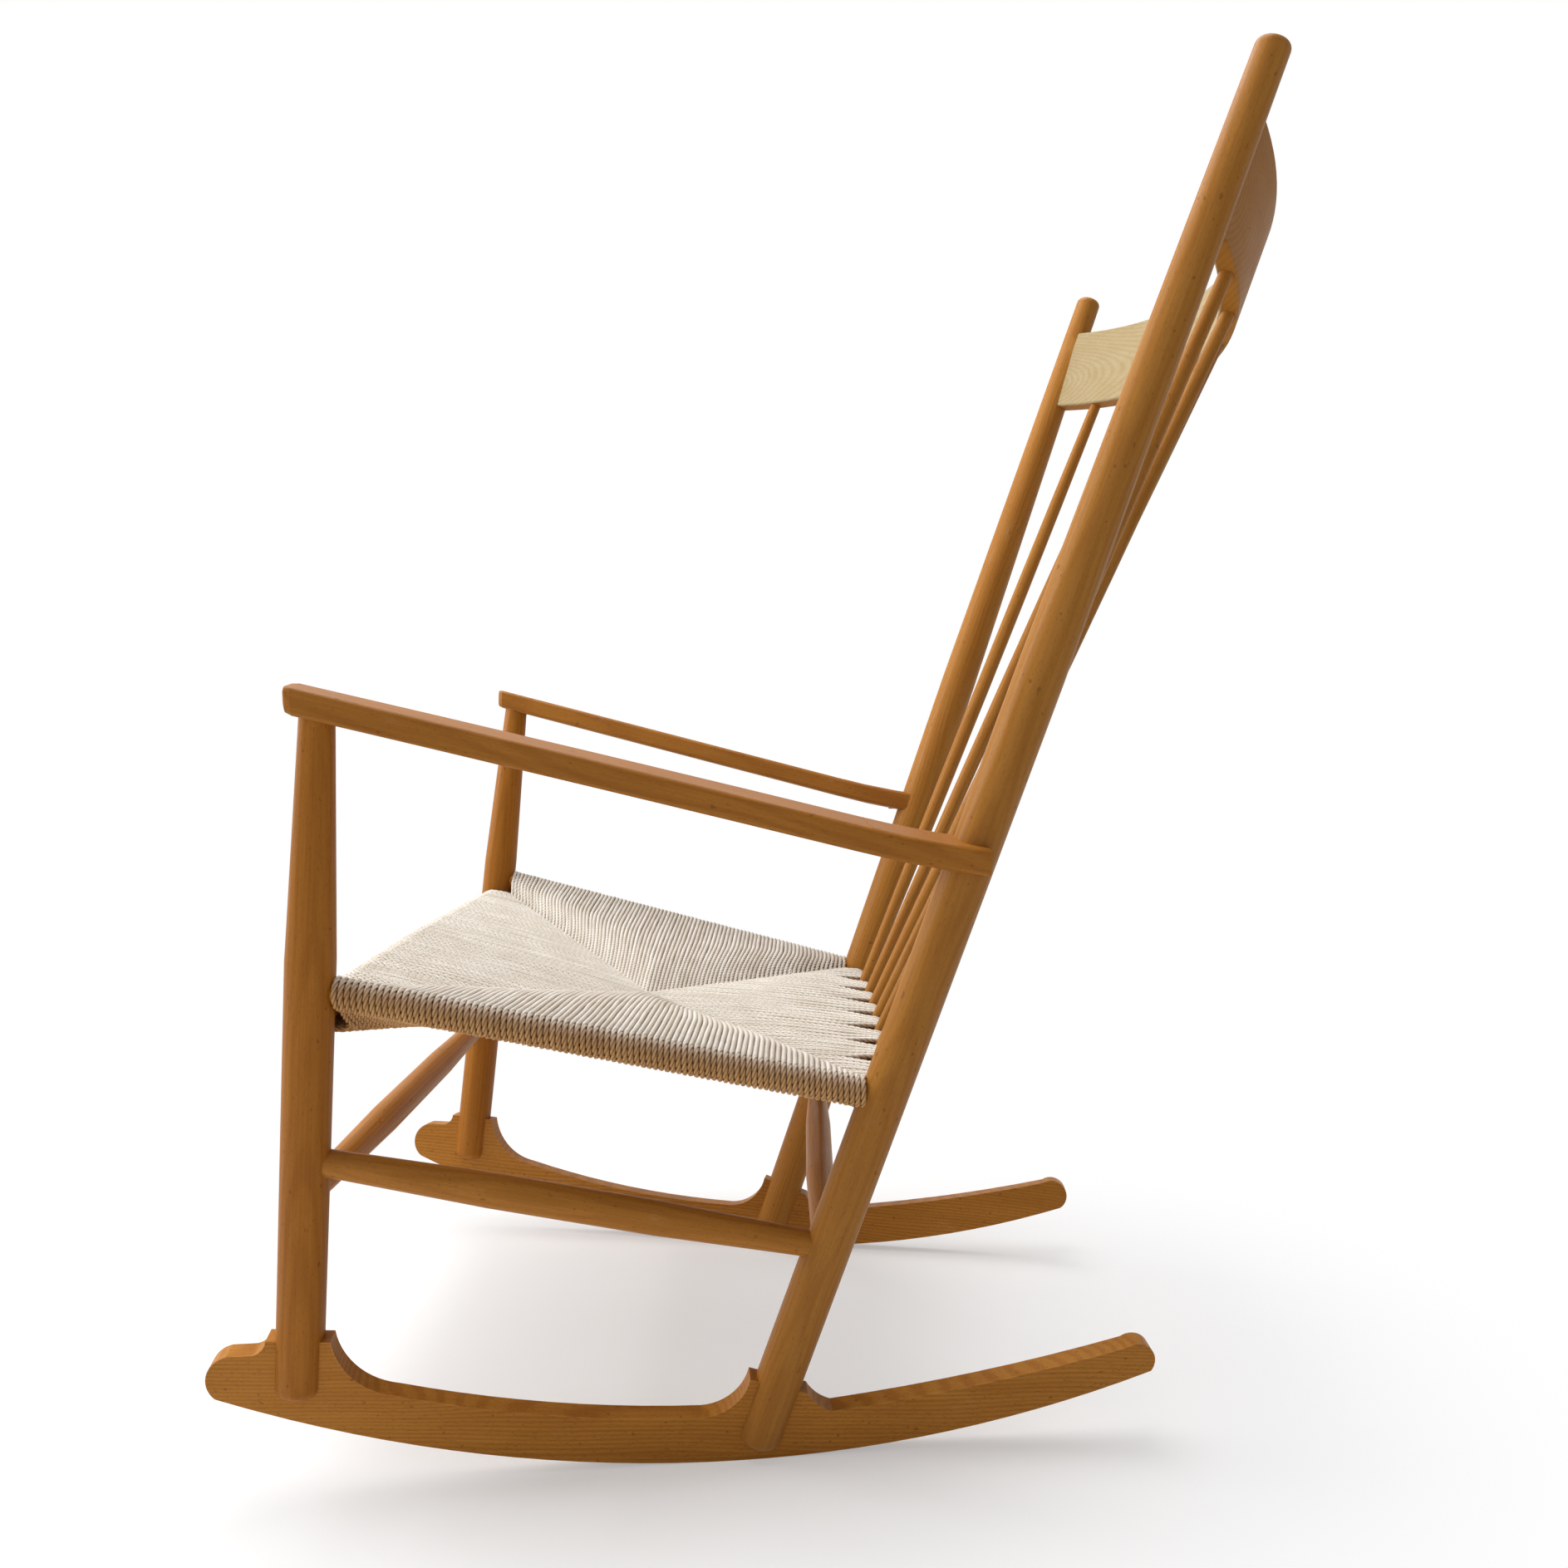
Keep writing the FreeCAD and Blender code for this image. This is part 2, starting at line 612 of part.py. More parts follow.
def crest_board(grow=0.0):
    """Bowed crest board with its ends inside the posts, in the chair's frame."""
    turn = math.degrees(math.asin((CREST_HALF_SPAN + CREST_HOUSING_DEPTH + grow) / CREST_MIDDLE_RADIUS))
    front = CREST_FRONT_RADIUS - grow
    rear = CREST_FRONT_RADIUS + CREST_THICKNESS + grow
    bottom = CREST_BOTTOM - grow
    top = CREST_BOTTOM + CREST_HEIGHT + grow
    section = rounded_section(front, rear, bottom, top, CREST_EDGE_ROUND + grow)
    board = Part.Face(section).revolve(ORIGIN, UP, 2 * turn)
    centre = Vector(0, CREST_BOW - CREST_FRONT_RADIUS, 0)
    board.Placement = Placement(centre, Rotation(UP, 90 - turn))
    return placed(board, BACK)


def make_crest(sockets):
    """Bowed crest rail, housed in the posts, with a tenon at each end and the spindles' sockets."""
    tenon = crest_tenon()
    return crest_board().cut(sockets).fuse([tenon, mirrored(tenon)]).removeSplitter()


def spindle_line(index, rail_end):
    """Foot, crest mouth, top and direction of one spindle, fanned from rear rail to crest."""
    place = index - (SPINDLE_COUNT - 1) / 2
    foot = bow_at(place * SPINDLE_FOOT_PITCH, rail_end, REAR_RAIL_BOW)
    mouth = BACK.multVec(crest_point(place * SPINDLE_TOP_PITCH, CREST_BOTTOM, CREST_MIDDLE_RADIUS))
    direction = mouth.sub(foot).normalize()
    return foot, mouth, mouth.add(direction * SPINDLE_TENON_LENGTH), direction


def prism(corners):
    """Closed solid with flat faces on three pairs of corners, each upper over lower."""
    (a, b), (c, d), (e, f) = corners
    loops = [[a, c, e], [b, f, d], [a, b, d, c], [c, d, f, e], [e, f, b, a]]
    faces = [Part.Face(Part.makePolygon(loop + [loop[0]])) for loop in loops]
    return Part.makeSolid(Part.makeShell(faces))


def panel_wedge(left, right, radius):
    """Flat-sided body of one seat panel, from its rail in to the seat's centre."""
    centre = Vector(0, SEAT_CENTRE_BACK, SEAT_CENTRE_HEIGHT)
    rise = UP * (radius - PANEL_SET_DOWN)
    pairs = [(place.add(rise), place.sub(rise)) for place in (left, right)]
    return prism(pairs + [(centre, centre.sub(UP * SEAT_CENTRE_THICKNESS))])


def double_cone(start, end, end_radius, middle_radius):
    """Turned body that widens straight to its middle."""
    length = end.sub(start).Length
    middle = Vector(middle_radius, 0, length / 2)
    head = Vector(end_radius, 0, length)
    points = [ORIGIN, Vector(end_radius, 0, 0), middle, head, Vector(0, 0, length), ORIGIN]
    return turned(lines(points), start, end)


def set_back(start, end, members):
    """The stretch between two round members that the cord is wound on."""
    inward = end.sub(start).normalize()
    return (
        start.add(inward * (members[0] + WRAP_SETBACK)),
        end.sub(inward * (members[1] + WRAP_SETBACK)),
    )


def rear_stretches(end, feet):
    """The stretches of the rear rail between its posts and spindles."""
    half = end.x - POST_RADIUS - WRAP_SETBACK
    places = [bow_at(-half, end, REAR_RAIL_BOW)] + feet + [bow_at(half, end, REAR_RAIL_BOW)]
    stretches = []
    for index, (start, finish) in enumerate(zip(places, places[1:])):
        step = finish.sub(start).normalize() * SPINDLE_MIDDLE_RADIUS
        low = start.add(step) if index > 0 else start
        high = finish.sub(step) if index < len(feet) else finish
        stretches.append((low, high))
    return stretches


def make_weave(side_ends, front_end, rear_end, feet, spindle_gaps):
    """Outer shape of the woven cord: four sloping panels and a wrap round each rail."""
    front_side, rear_side = side_ends
    cover = RAIL_END_RADIUS + CORD_LAYER
    core = RAIL_END_RADIUS + CORD_CLEARANCE
    front_corner = Vector(front_side.x, front_side.y, front_end.z)
    rear_corner = Vector(rear_side.x, rear_side.y, rear_end.z)
    side_stretch = set_back(*side_ends, (LEG_RADIUS, POST_RADIUS))
    front_stretch = set_back(front_end, flipped(front_end), (LEG_RADIUS, LEG_RADIUS))
    side_wrap = rod(*side_stretch, SIDE_RAIL_RADIUS + CORD_LAYER)
    side_panel = panel_wedge(rear_side, front_side, cover)
    body = panel_wedge(front_corner, flipped(front_corner), cover).fuse([
        panel_wedge(flipped(rear_corner), rear_corner, cover),
        side_panel,
        mirrored(side_panel),
    ])
    body = body.fuse([
        side_wrap,
        mirrored(side_wrap),
        double_cone(*front_stretch, cover, FRONT_RAIL_MIDDLE_RADIUS + CORD_LAYER),
    ] + [rod(low, high, cover) for low, high in rear_stretches(rear_end, feet)])
    side_core = rod(*side_ends, SIDE_RAIL_RADIUS + CORD_CLEARANCE)
    leg = rod(leg_place(0), leg_place(ARM_FRONT_HEIGHT), LEG_RADIUS + CORD_CLEARANCE)
    post = rod(post_place(0), post_place(ARM_FRONT_HEIGHT), POST_RADIUS + CORD_CLEARANCE)
    rear_cores = []
    places = [flipped(rear_end)] + feet + [rear_end]
    for low, high in zip(places, places[1:]):
        reach = high.sub(low).normalize() * SPINDLE_MIDDLE_RADIUS
        rear_cores.append(rod(low.sub(reach), high.add(reach), core))
    body = body.cut([
        side_core,
        mirrored(side_core),
        tapered(front_end, flipped(front_end), core, FRONT_RAIL_MIDDLE_RADIUS + CORD_CLEARANCE),
    ] + rear_cores)
    body = body.cut([leg, mirrored(leg), post, mirrored(post)] + spindle_gaps)
    return max(body.Solids, key=lambda solid: solid.Volume)


def export(name, shape):
    """Write one piece as its own STEP file."""
    solids = shape.Solids
    if len(solids) != 1 or not solids[0].isValid():
        print("check", name, len(solids), shape.isValid())
    solids[0].exportStep("parts/" + name + ".step")
    print(name, round(solids[0].Volume))


def main():
    """Build every piece in the chair's frame and write it."""
    side_members = (LEG_RADIUS, POST_RADIUS)
    front_members = (LEG_RADIUS, LEG_RADIUS)
    rear_members = (POST_RADIUS, POST_RADIUS)

    side_ends = leg_place(SIDE_RAIL_FRONT_HEIGHT), post_place(SIDE_RAIL_REAR_HEIGHT)
    side_rail, side_rail_mortises = turned_rail(
        *side_ends, SIDE_RAIL_RADIUS, SIDE_RAIL_RADIUS, side_members, TENON_DEPTH)
    front_end = leg_place(FRONT_RAIL_HEIGHT)
    front_rail, front_rail_mortises = turned_rail(
        front_end, flipped(front_end),
        RAIL_END_RADIUS, FRONT_RAIL_MIDDLE_RADIUS, front_members, TENON_DEPTH)
    side_stretcher, side_mortises = turned_rail(
        leg_place(SIDE_STRETCHER_FRONT_HEIGHT), post_place(SIDE_STRETCHER_REAR_HEIGHT),
        SIDE_STRETCHER_END_RADIUS, SIDE_STRETCHER_MIDDLE_RADIUS, side_members, TENON_DEPTH)
    low_front = leg_place(FRONT_STRETCHER_HEIGHT)
    front_stretcher, front_mortises = turned_rail(
        low_front, flipped(low_front),
        FRONT_STRETCHER_END_RADIUS, FRONT_STRETCHER_MIDDLE_RADIUS, front_members, TENON_DEPTH)
    low_rear = post_place(REAR_STRETCHER_HEIGHT).sub(Vector(0, REAR_STRETCHER_FORWARD, 0))
    rear_stretcher, rear_mortises = turned_rail(
        low_rear, flipped(low_rear),
        REAR_STRETCHER_END_RADIUS, REAR_STRETCHER_MIDDLE_RADIUS, rear_members, REAR_TENON_DEPTH)

    rear_end = post_place(REAR_RAIL_HEIGHT).sub(Vector(0, REAR_RAIL_FORWARD, 0))
    spindles, feet, crest_sockets, rail_sockets, spindle_gaps = [], [], [], [], []
    socket_radius = SPINDLE_END_RADIUS + JOINT_CLEARANCE
    for index in range(SPINDLE_COUNT):
        foot, mouth, top, direction = spindle_line(index, rear_end)
        margin = direction * JOINT_CLEARANCE
        feet.append(foot)
        spindles.append(barrel(foot, top, SPINDLE_END_RADIUS, SPINDLE_MIDDLE_RADIUS, SPINDLE_TENON_LENGTH))
        crest_sockets.append(rod(mouth.sub(direction * CUT_OVERRUN), top.add(margin), socket_radius))
        rail_sockets.append(rod(foot.sub(margin), foot.add(direction * CUT_OVERRUN), socket_radius))
        spindle_gaps.append(rod(foot, foot.add(direction * CUT_OVERRUN), SPINDLE_MIDDLE_RADIUS))
    rear_rail, rear_rail_mortise = make_rear_rail(rear_end, rail_sockets)

    leg_mortises = [side_rail_mortises[0], front_rail_mortises[0], side_mortises[0], front_mortises[0]]
    post_mortises = [side_rail_mortises[1], rear_rail_mortise, side_mortises[1], rear_mortises[0]]
    pairs = {
        "rocker": make_rocker(),
        "front_leg": make_leg(leg_mortises),
        "back_post": make_post(post_mortises),
        "armrest": make_armrest(),
        "seat_rail": side_rail,
        "stretcher": side_stretcher,
    }
    for name, shape in pairs.items():
        export(name + "_left", shape)
        export(name + "_right", mirrored(shape))
    export("seat_rail_front", front_rail)
    export("seat_rail_rear", rear_rail)
    export("stretcher_front", front_stretcher)
    export("stretcher_rear", rear_stretcher)
    export("crest_rail", make_crest(crest_sockets))
    for index, spindle in enumerate(spindles):
        export("spindle_" + str(index + 1), spindle)
    export("seat_weave", make_weave(side_ends, front_end, rear_end, feet, spindle_gaps))


main()
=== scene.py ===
"""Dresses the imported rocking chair: lacquered beech, a seat of twisted paper cord, a pale studio."""

import logging
import math
from dataclasses import dataclass, field
from enum import Enum

import bpy
import numpy as np
from mathutils import Euler, Matrix, Vector


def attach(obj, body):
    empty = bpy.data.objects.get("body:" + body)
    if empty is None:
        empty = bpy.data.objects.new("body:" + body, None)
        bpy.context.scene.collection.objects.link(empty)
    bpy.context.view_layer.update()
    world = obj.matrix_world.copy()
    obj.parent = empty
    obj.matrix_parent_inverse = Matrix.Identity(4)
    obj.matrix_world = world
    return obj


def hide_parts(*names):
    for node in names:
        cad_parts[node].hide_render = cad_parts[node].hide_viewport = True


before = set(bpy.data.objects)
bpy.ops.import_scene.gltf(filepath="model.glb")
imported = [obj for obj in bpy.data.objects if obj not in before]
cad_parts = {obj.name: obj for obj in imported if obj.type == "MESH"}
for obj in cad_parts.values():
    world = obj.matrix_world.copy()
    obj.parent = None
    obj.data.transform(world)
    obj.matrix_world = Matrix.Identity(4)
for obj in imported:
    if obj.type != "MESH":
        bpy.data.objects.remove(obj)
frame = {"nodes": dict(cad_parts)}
LOG = logging.getLogger("rocking_chair")
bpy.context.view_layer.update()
MM = 0.001
MIX_COLOUR_INPUTS = (0, 6, 7)
MIX_COLOUR_OUTPUT = 2
WHITE = (1.0, 1.0, 1.0, 1.0)
SAMPLES_PER_KNOT = 3
UP = np.array((0.0, 0.0, 1.0))

Colour = tuple[float, float, float]
Place = tuple[float, float, float]
Span = tuple[float, float]
Points = np.ndarray


class BoardCut(Enum):
    """How a piece of beech was cut from the log."""

    TURNED = "turned"
    FLAT_SAWN = "flat sawn"
    QUARTER_SAWN = "quarter sawn"


class Face(Enum):
    """Side of the seat that a stretch of cord lies on."""

    TOP = 1
    UNDER = -1


@dataclass(frozen=True)
class BeechFinish:
    """Lacquered beech as one group of pieces shows it."""

    early_wood: Colour
    late_wood: Colour
    fleck: Colour
    cut: BoardCut = BoardCut.TURNED
    ring_contrast: float = 0.35
    fleck_amount: float = 0.5
    patina: float = 0.5
    # Paints shade on the back and edges, darker than the pale, lit front.
    painted_back_shade: bool = False
    edge_wear: float = 0.6
    coat_roughness: float = 0.25
    coat: float = 0.05
    specular: float = 0.10


@dataclass(frozen=True)
class CordFinish:
    """Natural paper cord, matt and a little uneven from strand to strand."""

    light: Colour = (0.66, 0.385, 0.165)
    dark: Colour = (0.49, 0.255, 0.098)
    # Colours of the top: partly real sun bleaching and partly painted light, paler than the shaded sides and
    # underside.
    lit_bleached_light: Colour = (0.84, 0.795, 0.73)
    lit_bleached_dark: Colour = (0.62, 0.55, 0.46)
    # Painted shade in the creases between the plies, on the shaded sides and on the lit top.
    groove_shade: Colour = (0.13, 0.065, 0.026)
    lit_groove_shade: Colour = (0.32, 0.255, 0.185)
    roughness: float = 0.88
    sheen: float = 0.04
    specular: float = 0.1
    tone_share: float = 0.45
    blotch_share: float = 0.3
    fibre_share: float = 0.3
    fibre_edge: Span = (0.35, 0.7)
    # How the painted groove shade spreads across each ply, and how strong it is.
    groove_shade_edge: Span = (0.6, 0.0)
    groove_shade_share: float = 0.9
    bump_depth: float = 0.25 * MM
    bump_strength: float = 0.5


@dataclass(frozen=True)
class GrainScale:
    """Noise scales along and across the grain, the steps cut from them, and how strongly each feature shows."""

    drift: Place = (2.6, 8.0, 8.0)
    drift_reach: float = 0.034
    ring_frequency: float = 1750.0
    ring_edge: Span = (-0.6, 1.0)
    streak: Place = (9.0, 620.0, 620.0)
    streak_edge: Span = (0.3, 0.72)
    streak_share: float = 0.42
    broad: Place = (7.0, 46.0, 46.0)
    broad_edge: Span = (0.32, 0.7)
    broad_share: float = 0.34
    dash: Place = (250.0, 2100.0, 2100.0)
    dash_edge: Span = (0.6, 0.74)
    speck: Place = (210.0, 260.0, 260.0)
    speck_edge: Span = (0.795, 0.83)
    speck_share: float = 0.55
    rubbed: Place = (16.0, 30.0, 30.0)
    rubbed_edge: Span = (0.6, 0.8)
    rubbed_saturation: float = 0.86
    rubbed_value: float = 1.16
    least_roughness: float = 0.36
    roughness_range: float = 0.2
    fleck_height: float = -0.6


HONEY = BeechFinish((0.375, 0.141, 0.015), (0.28, 0.094, 0.008), (0.13, 0.04, 0.005))
OLIVE = BeechFinish((0.39, 0.168, 0.028), (0.305, 0.118, 0.016), (0.145, 0.05, 0.008), patina=0.6, edge_wear=0.2)
ORANGE = BeechFinish((0.44, 0.18, 0.030), (0.335, 0.127, 0.017), (0.14, 0.046, 0.008), patina=0.45)
ROCKER = BeechFinish(
    (0.475, 0.20, 0.030), (0.355, 0.132, 0.016), (0.14, 0.048, 0.008),
    cut=BoardCut.QUARTER_SAWN, ring_contrast=0.55, fleck_amount=0.7)
ARM = BeechFinish(
    (0.385, 0.15, 0.020), (0.29, 0.101, 0.011), (0.15, 0.052, 0.009),
    cut=BoardCut.QUARTER_SAWN, ring_contrast=0.4, fleck_amount=0.55, patina=0.9)
# The crest's pale colour is partly its own lighter wood and partly a painted highlight of its brightly lit front.
PALE_AND_LIT = BeechFinish(
    (0.43, 0.345, 0.20), (0.36, 0.262, 0.13), (0.24, 0.148, 0.065),
    cut=BoardCut.FLAT_SAWN, ring_contrast=0.4, fleck_amount=0.5, patina=0.2, painted_back_shade=True, coat=0.0, specular=0.03)
FINISH_BY_START = {
    "rocker": ROCKER, "armrest": ARM, "crest": PALE_AND_LIT, "back_post": OLIVE, "spindle": OLIVE,
    "seat_rail": ORANGE, "stretcher": ORANGE, "front_leg": HONEY,
}


def smooth_noise(length: float, step: float, size: float, rng: np.random.Generator) -> np.ndarray:
    """Gives a run of small, smooth random offsets.

    Args:
        length: Length of the run in metres.
        step: Distance between two samples in metres.
        size: Largest offset, in metres.
        rng: Seeded source of random numbers.

    Returns:
        One offset for each sample along the run.
    """
    count = max(int(round(length / step)) + 1, 2)
    knots = rng.uniform(-size, size, max(count // SAMPLES_PER_KNOT, 2) + 1)
    return np.interp(np.linspace(0, len(knots) - 1, count), np.arange(len(knots)), knots)


def socket_id(tree: bpy.types.NodeTree, name: str) -> str:
    """Finds the identifier of a tree's input by its name."""
    items = tree.interface.items_tree
    return next(item.identifier for item in items if item.name == name and item.in_out == "INPUT")


def new_object(name: str, data: bpy.types.ID) -> bpy.types.Object:
    """Makes an object and links it to the scene."""
    made = bpy.data.objects.new(name, data)
    bpy.context.scene.collection.objects.link(made)
    return made


@dataclass
class NodeDesk:
    """Lays out and joins the nodes of one tree."""

    tree: bpy.types.NodeTree
    column: float = 180.0
    placed: int = 0

    def add(self, kind: str, **settings: object) -> bpy.types.Node:
        """Adds a node.

        Args:
            kind: Blender's name for the node type.
            settings: Properties to set on it.

        Returns:
            The new node.
        """
        node = self.tree.nodes.new(kind)
        node.location = (self.column * self.placed, 0)
        self.placed += 1
        for name, value in settings.items():
            setattr(node, name, value)
        return node

    def feed(self, socket: bpy.types.NodeSocket, source: object) -> None:
        """Joins a socket to another node's output, or gives it a plain value."""
        if isinstance(source, bpy.types.NodeSocket):
            self.tree.links.new(source, socket)
        else:
            socket.default_value = source

    def math(self, operation: str, *values: object, clamp: bool = False) -> bpy.types.NodeSocket:
        """Adds a Math node and gives its result."""
        node = self.add("ShaderNodeMath", operation=operation, use_clamp=clamp)
        for socket, value in zip(node.inputs, values):
            self.feed(socket, value)
        return node.outputs[0]

    def vector(self, operation: str, *values: object) -> bpy.types.Node:
        """Adds a Vector Math node."""
        node = self.add("ShaderNodeVectorMath", operation=operation)
        for socket, value in zip(node.inputs, values):
            self.feed(socket, value)
        return node

    def noise(self, place: object, scale: Place, detail: float, roughness: float = 0.5) -> bpy.types.NodeSocket:
        """Adds a Noise Texture over a scaled place and gives its value."""
        node = self.add("ShaderNodeTexNoise")
        self.feed(node.inputs["Vector"], self.vector("MULTIPLY", place, scale).outputs[0])
        node.inputs["Scale"].default_value = 1.0
        node.inputs["Detail"].default_value = detail
        node.inputs["Roughness"].default_value = roughness
        return node.outputs["Fac"]

    def ramp(self, value: object, low: float, high: float) -> bpy.types.NodeSocket:
        """Turns the stretch from low to high into 0 to 1, smoothly."""
        node = self.add("ShaderNodeMapRange", interpolation_type="SMOOTHSTEP")
        self.feed(node.inputs["Value"], value)
        node.inputs["From Min"].default_value = low
        node.inputs["From Max"].default_value = high
        return node.outputs["Result"]

    def mix(self, factor: object, first: object, second: object, blend: str = "MIX") -> bpy.types.NodeSocket:
        """Mixes or otherwise blends two colours."""
        node = self.add("ShaderNodeMix", data_type="RGBA", blend_type=blend)
        for number, value in zip(MIX_COLOUR_INPUTS, (factor, first, second)):
            self.feed(node.inputs[number], value)
        return node.outputs[MIX_COLOUR_OUTPUT]

    def group(self, tree: bpy.types.NodeTree, place: bpy.types.NodeSocket) -> bpy.types.Node:
        """Adds a shader node group that reads the place given."""
        node = self.add("ShaderNodeGroup", node_tree=tree)
        self.feed(node.inputs["Vector"], place)
        return node

    def show(self, surface: bpy.types.NodeSocket, output: str = "ShaderNodeOutputMaterial") -> None:
        """Joins a shader to the tree's output."""
        self.feed(self.add(output).inputs["Surface"], surface)


def blank_material(name: str) -> tuple[bpy.types.Material, NodeDesk]:
    """Makes an empty material and the desk for its nodes."""
    material = bpy.data.materials.new(name)
    material.use_nodes = True
    material.node_tree.nodes.clear()
    return material, NodeDesk(material.node_tree)


@dataclass
class ShaderGroups:
    """The effects that more than one material uses, each built once as a node group."""

    groups: dict[str, bpy.types.NodeTree] = field(default_factory=dict)
    grain: GrainScale = GrainScale()
    edge_width: float = 1.5 * MM
    edge_turn: Span = (0.98, 0.88)
    bevel_samples: int = 4
    patch_scale: Place = (60.0, 60.0, 60.0)
    patch_edge: Span = (0.42, 0.62)
    fibre_scale: Place = (900.0, 900.0, 900.0)
    blotch_scale: Place = (38.0, 38.0, 38.0)
    blotch_edge: Span = (0.3, 0.7)

    def start(self, name: str, inputs: dict[str, str], outputs: dict[str, str]) -> tuple[NodeDesk, bpy.types.Node]:
        """Starts a group with its named sockets.

        Args:
            name: Name of the group.
            inputs: Type of each input socket by its name.
            outputs: Type of each output socket by its name.

        Returns:
            The desk for its nodes, and its input node.
        """
        tree = bpy.data.node_groups.new(name, "ShaderNodeTree")
        for direction, sockets in (("INPUT", inputs), ("OUTPUT", outputs)):
            for label, kind in sockets.items():
                tree.interface.new_socket(label, in_out=direction, socket_type="NodeSocket" + kind)
        self.groups[name] = tree
        desk = NodeDesk(tree)
        return desk, desk.add("NodeGroupInput")

    def beech_grain(self) -> bpy.types.NodeTree:
        """Builds the grain of beech, whose X runs along the grain: rings, streaks, flecks and patina."""
        desk, given = self.start(
            "beech_grain",
            {"Vector": "Vector", "Early": "Color", "Late": "Color", "Fleck": "Color", "Ring Contrast": "Float",
             "Fleck Amount": "Float", "Patina": "Float", "Ring Stretch": "Float"},
            {"Color": "Color", "Roughness": "Float", "Height": "Float"},
        )
        place, scale = given.outputs["Vector"], self.grain
        drift = desk.noise(place, scale.drift, detail=2.0)
        parts = desk.add("ShaderNodeSeparateXYZ")
        desk.feed(parts.inputs[0], place)
        flat = desk.add("ShaderNodeCombineXYZ")
        desk.feed(flat.inputs["Y"], parts.outputs["Y"])
        desk.feed(flat.inputs["Z"], desk.math("MULTIPLY", parts.outputs["Z"], given.outputs["Ring Stretch"]))
        radius = desk.vector("LENGTH", flat.outputs[0]).outputs["Value"]
        bent = desk.math("MULTIPLY_ADD", drift, scale.drift_reach, radius)
        ring = desk.ramp(desk.math("SINE", desk.math("MULTIPLY", bent, scale.ring_frequency)), *scale.ring_edge)
        streak = desk.noise(place, scale.streak, detail=3.0, roughness=0.6)
        broad = desk.noise(place, scale.broad, detail=2.0)
        tone = desk.math("MULTIPLY", ring, given.outputs["Ring Contrast"])
        tone = desk.math("MULTIPLY_ADD", desk.ramp(streak, *scale.streak_edge), scale.streak_share, tone)
        tone = desk.math("MULTIPLY_ADD", desk.ramp(broad, *scale.broad_edge), scale.broad_share, tone, clamp=True)
        colour = desk.mix(tone, given.outputs["Early"], given.outputs["Late"])
        dashes = desk.noise(place, scale.dash, detail=1.0)
        fleck = desk.math("MULTIPLY", desk.ramp(dashes, *scale.dash_edge), given.outputs["Fleck Amount"])
        colour = desk.mix(fleck, colour, given.outputs["Fleck"])
        specks = desk.ramp(desk.noise(place, scale.speck, detail=0.0), *scale.speck_edge)
        colour = desk.mix(desk.math("MULTIPLY", specks, scale.speck_share), colour, given.outputs["Fleck"])
        rubbed = desk.noise(place, scale.rubbed, detail=4.0, roughness=0.65)
        pale = desk.math("MULTIPLY", desk.ramp(rubbed, *scale.rubbed_edge), given.outputs["Patina"])
        worn = desk.add("ShaderNodeHueSaturation")
        worn.inputs["Saturation"].default_value = scale.rubbed_saturation
        worn.inputs["Value"].default_value = scale.rubbed_value
        desk.feed(worn.inputs["Color"], colour)
        out = desk.add("NodeGroupOutput")
        desk.feed(out.inputs["Color"], desk.mix(pale, colour, worn.outputs[0]))
        roughness = desk.math("MULTIPLY_ADD", rubbed, scale.roughness_range, scale.least_roughness)
        desk.feed(out.inputs["Roughness"], roughness)
        desk.feed(out.inputs["Height"], desk.math("MULTIPLY_ADD", fleck, scale.fleck_height, streak))
        return desk.tree

    def worn_edge(self) -> bpy.types.NodeTree:
        """Builds a mask for edges that hands have rubbed, where a rounded normal leaves the true one."""
        desk, given = self.start("worn_edge", {"Vector": "Vector"}, {"Mask": "Float"})
        patches = desk.noise(given.outputs["Vector"], self.patch_scale, detail=3.0)
        rounded = desk.add("ShaderNodeBevel", samples=self.bevel_samples)
        rounded.inputs["Radius"].default_value = self.edge_width
        true = desk.add("ShaderNodeNewGeometry")
        turn = desk.vector("DOT_PRODUCT", rounded.outputs[0], true.outputs["Normal"]).outputs["Value"]
        out = desk.add("NodeGroupOutput")
        edge, patchy = desk.ramp(turn, *self.edge_turn), desk.ramp(patches, *self.patch_edge)
        desk.feed(out.inputs["Mask"], desk.math("MULTIPLY", edge, patchy))
        return desk.tree

    def paper_fibre(self) -> bpy.types.NodeTree:
        """Builds the fine streaks and soft blotches of paper cord."""
        desk, given = self.start("paper_fibre", {"Vector": "Vector"}, {"Fibre": "Float", "Blotch": "Float"})
        place = given.outputs["Vector"]
        out = desk.add("NodeGroupOutput")
        blotch = desk.noise(place, self.blotch_scale, detail=2.0)
        desk.feed(out.inputs["Fibre"], desk.noise(place, self.fibre_scale, detail=3.0, roughness=0.65))
        desk.feed(out.inputs["Blotch"], desk.ramp(blotch, *self.blotch_edge))
        return desk.tree


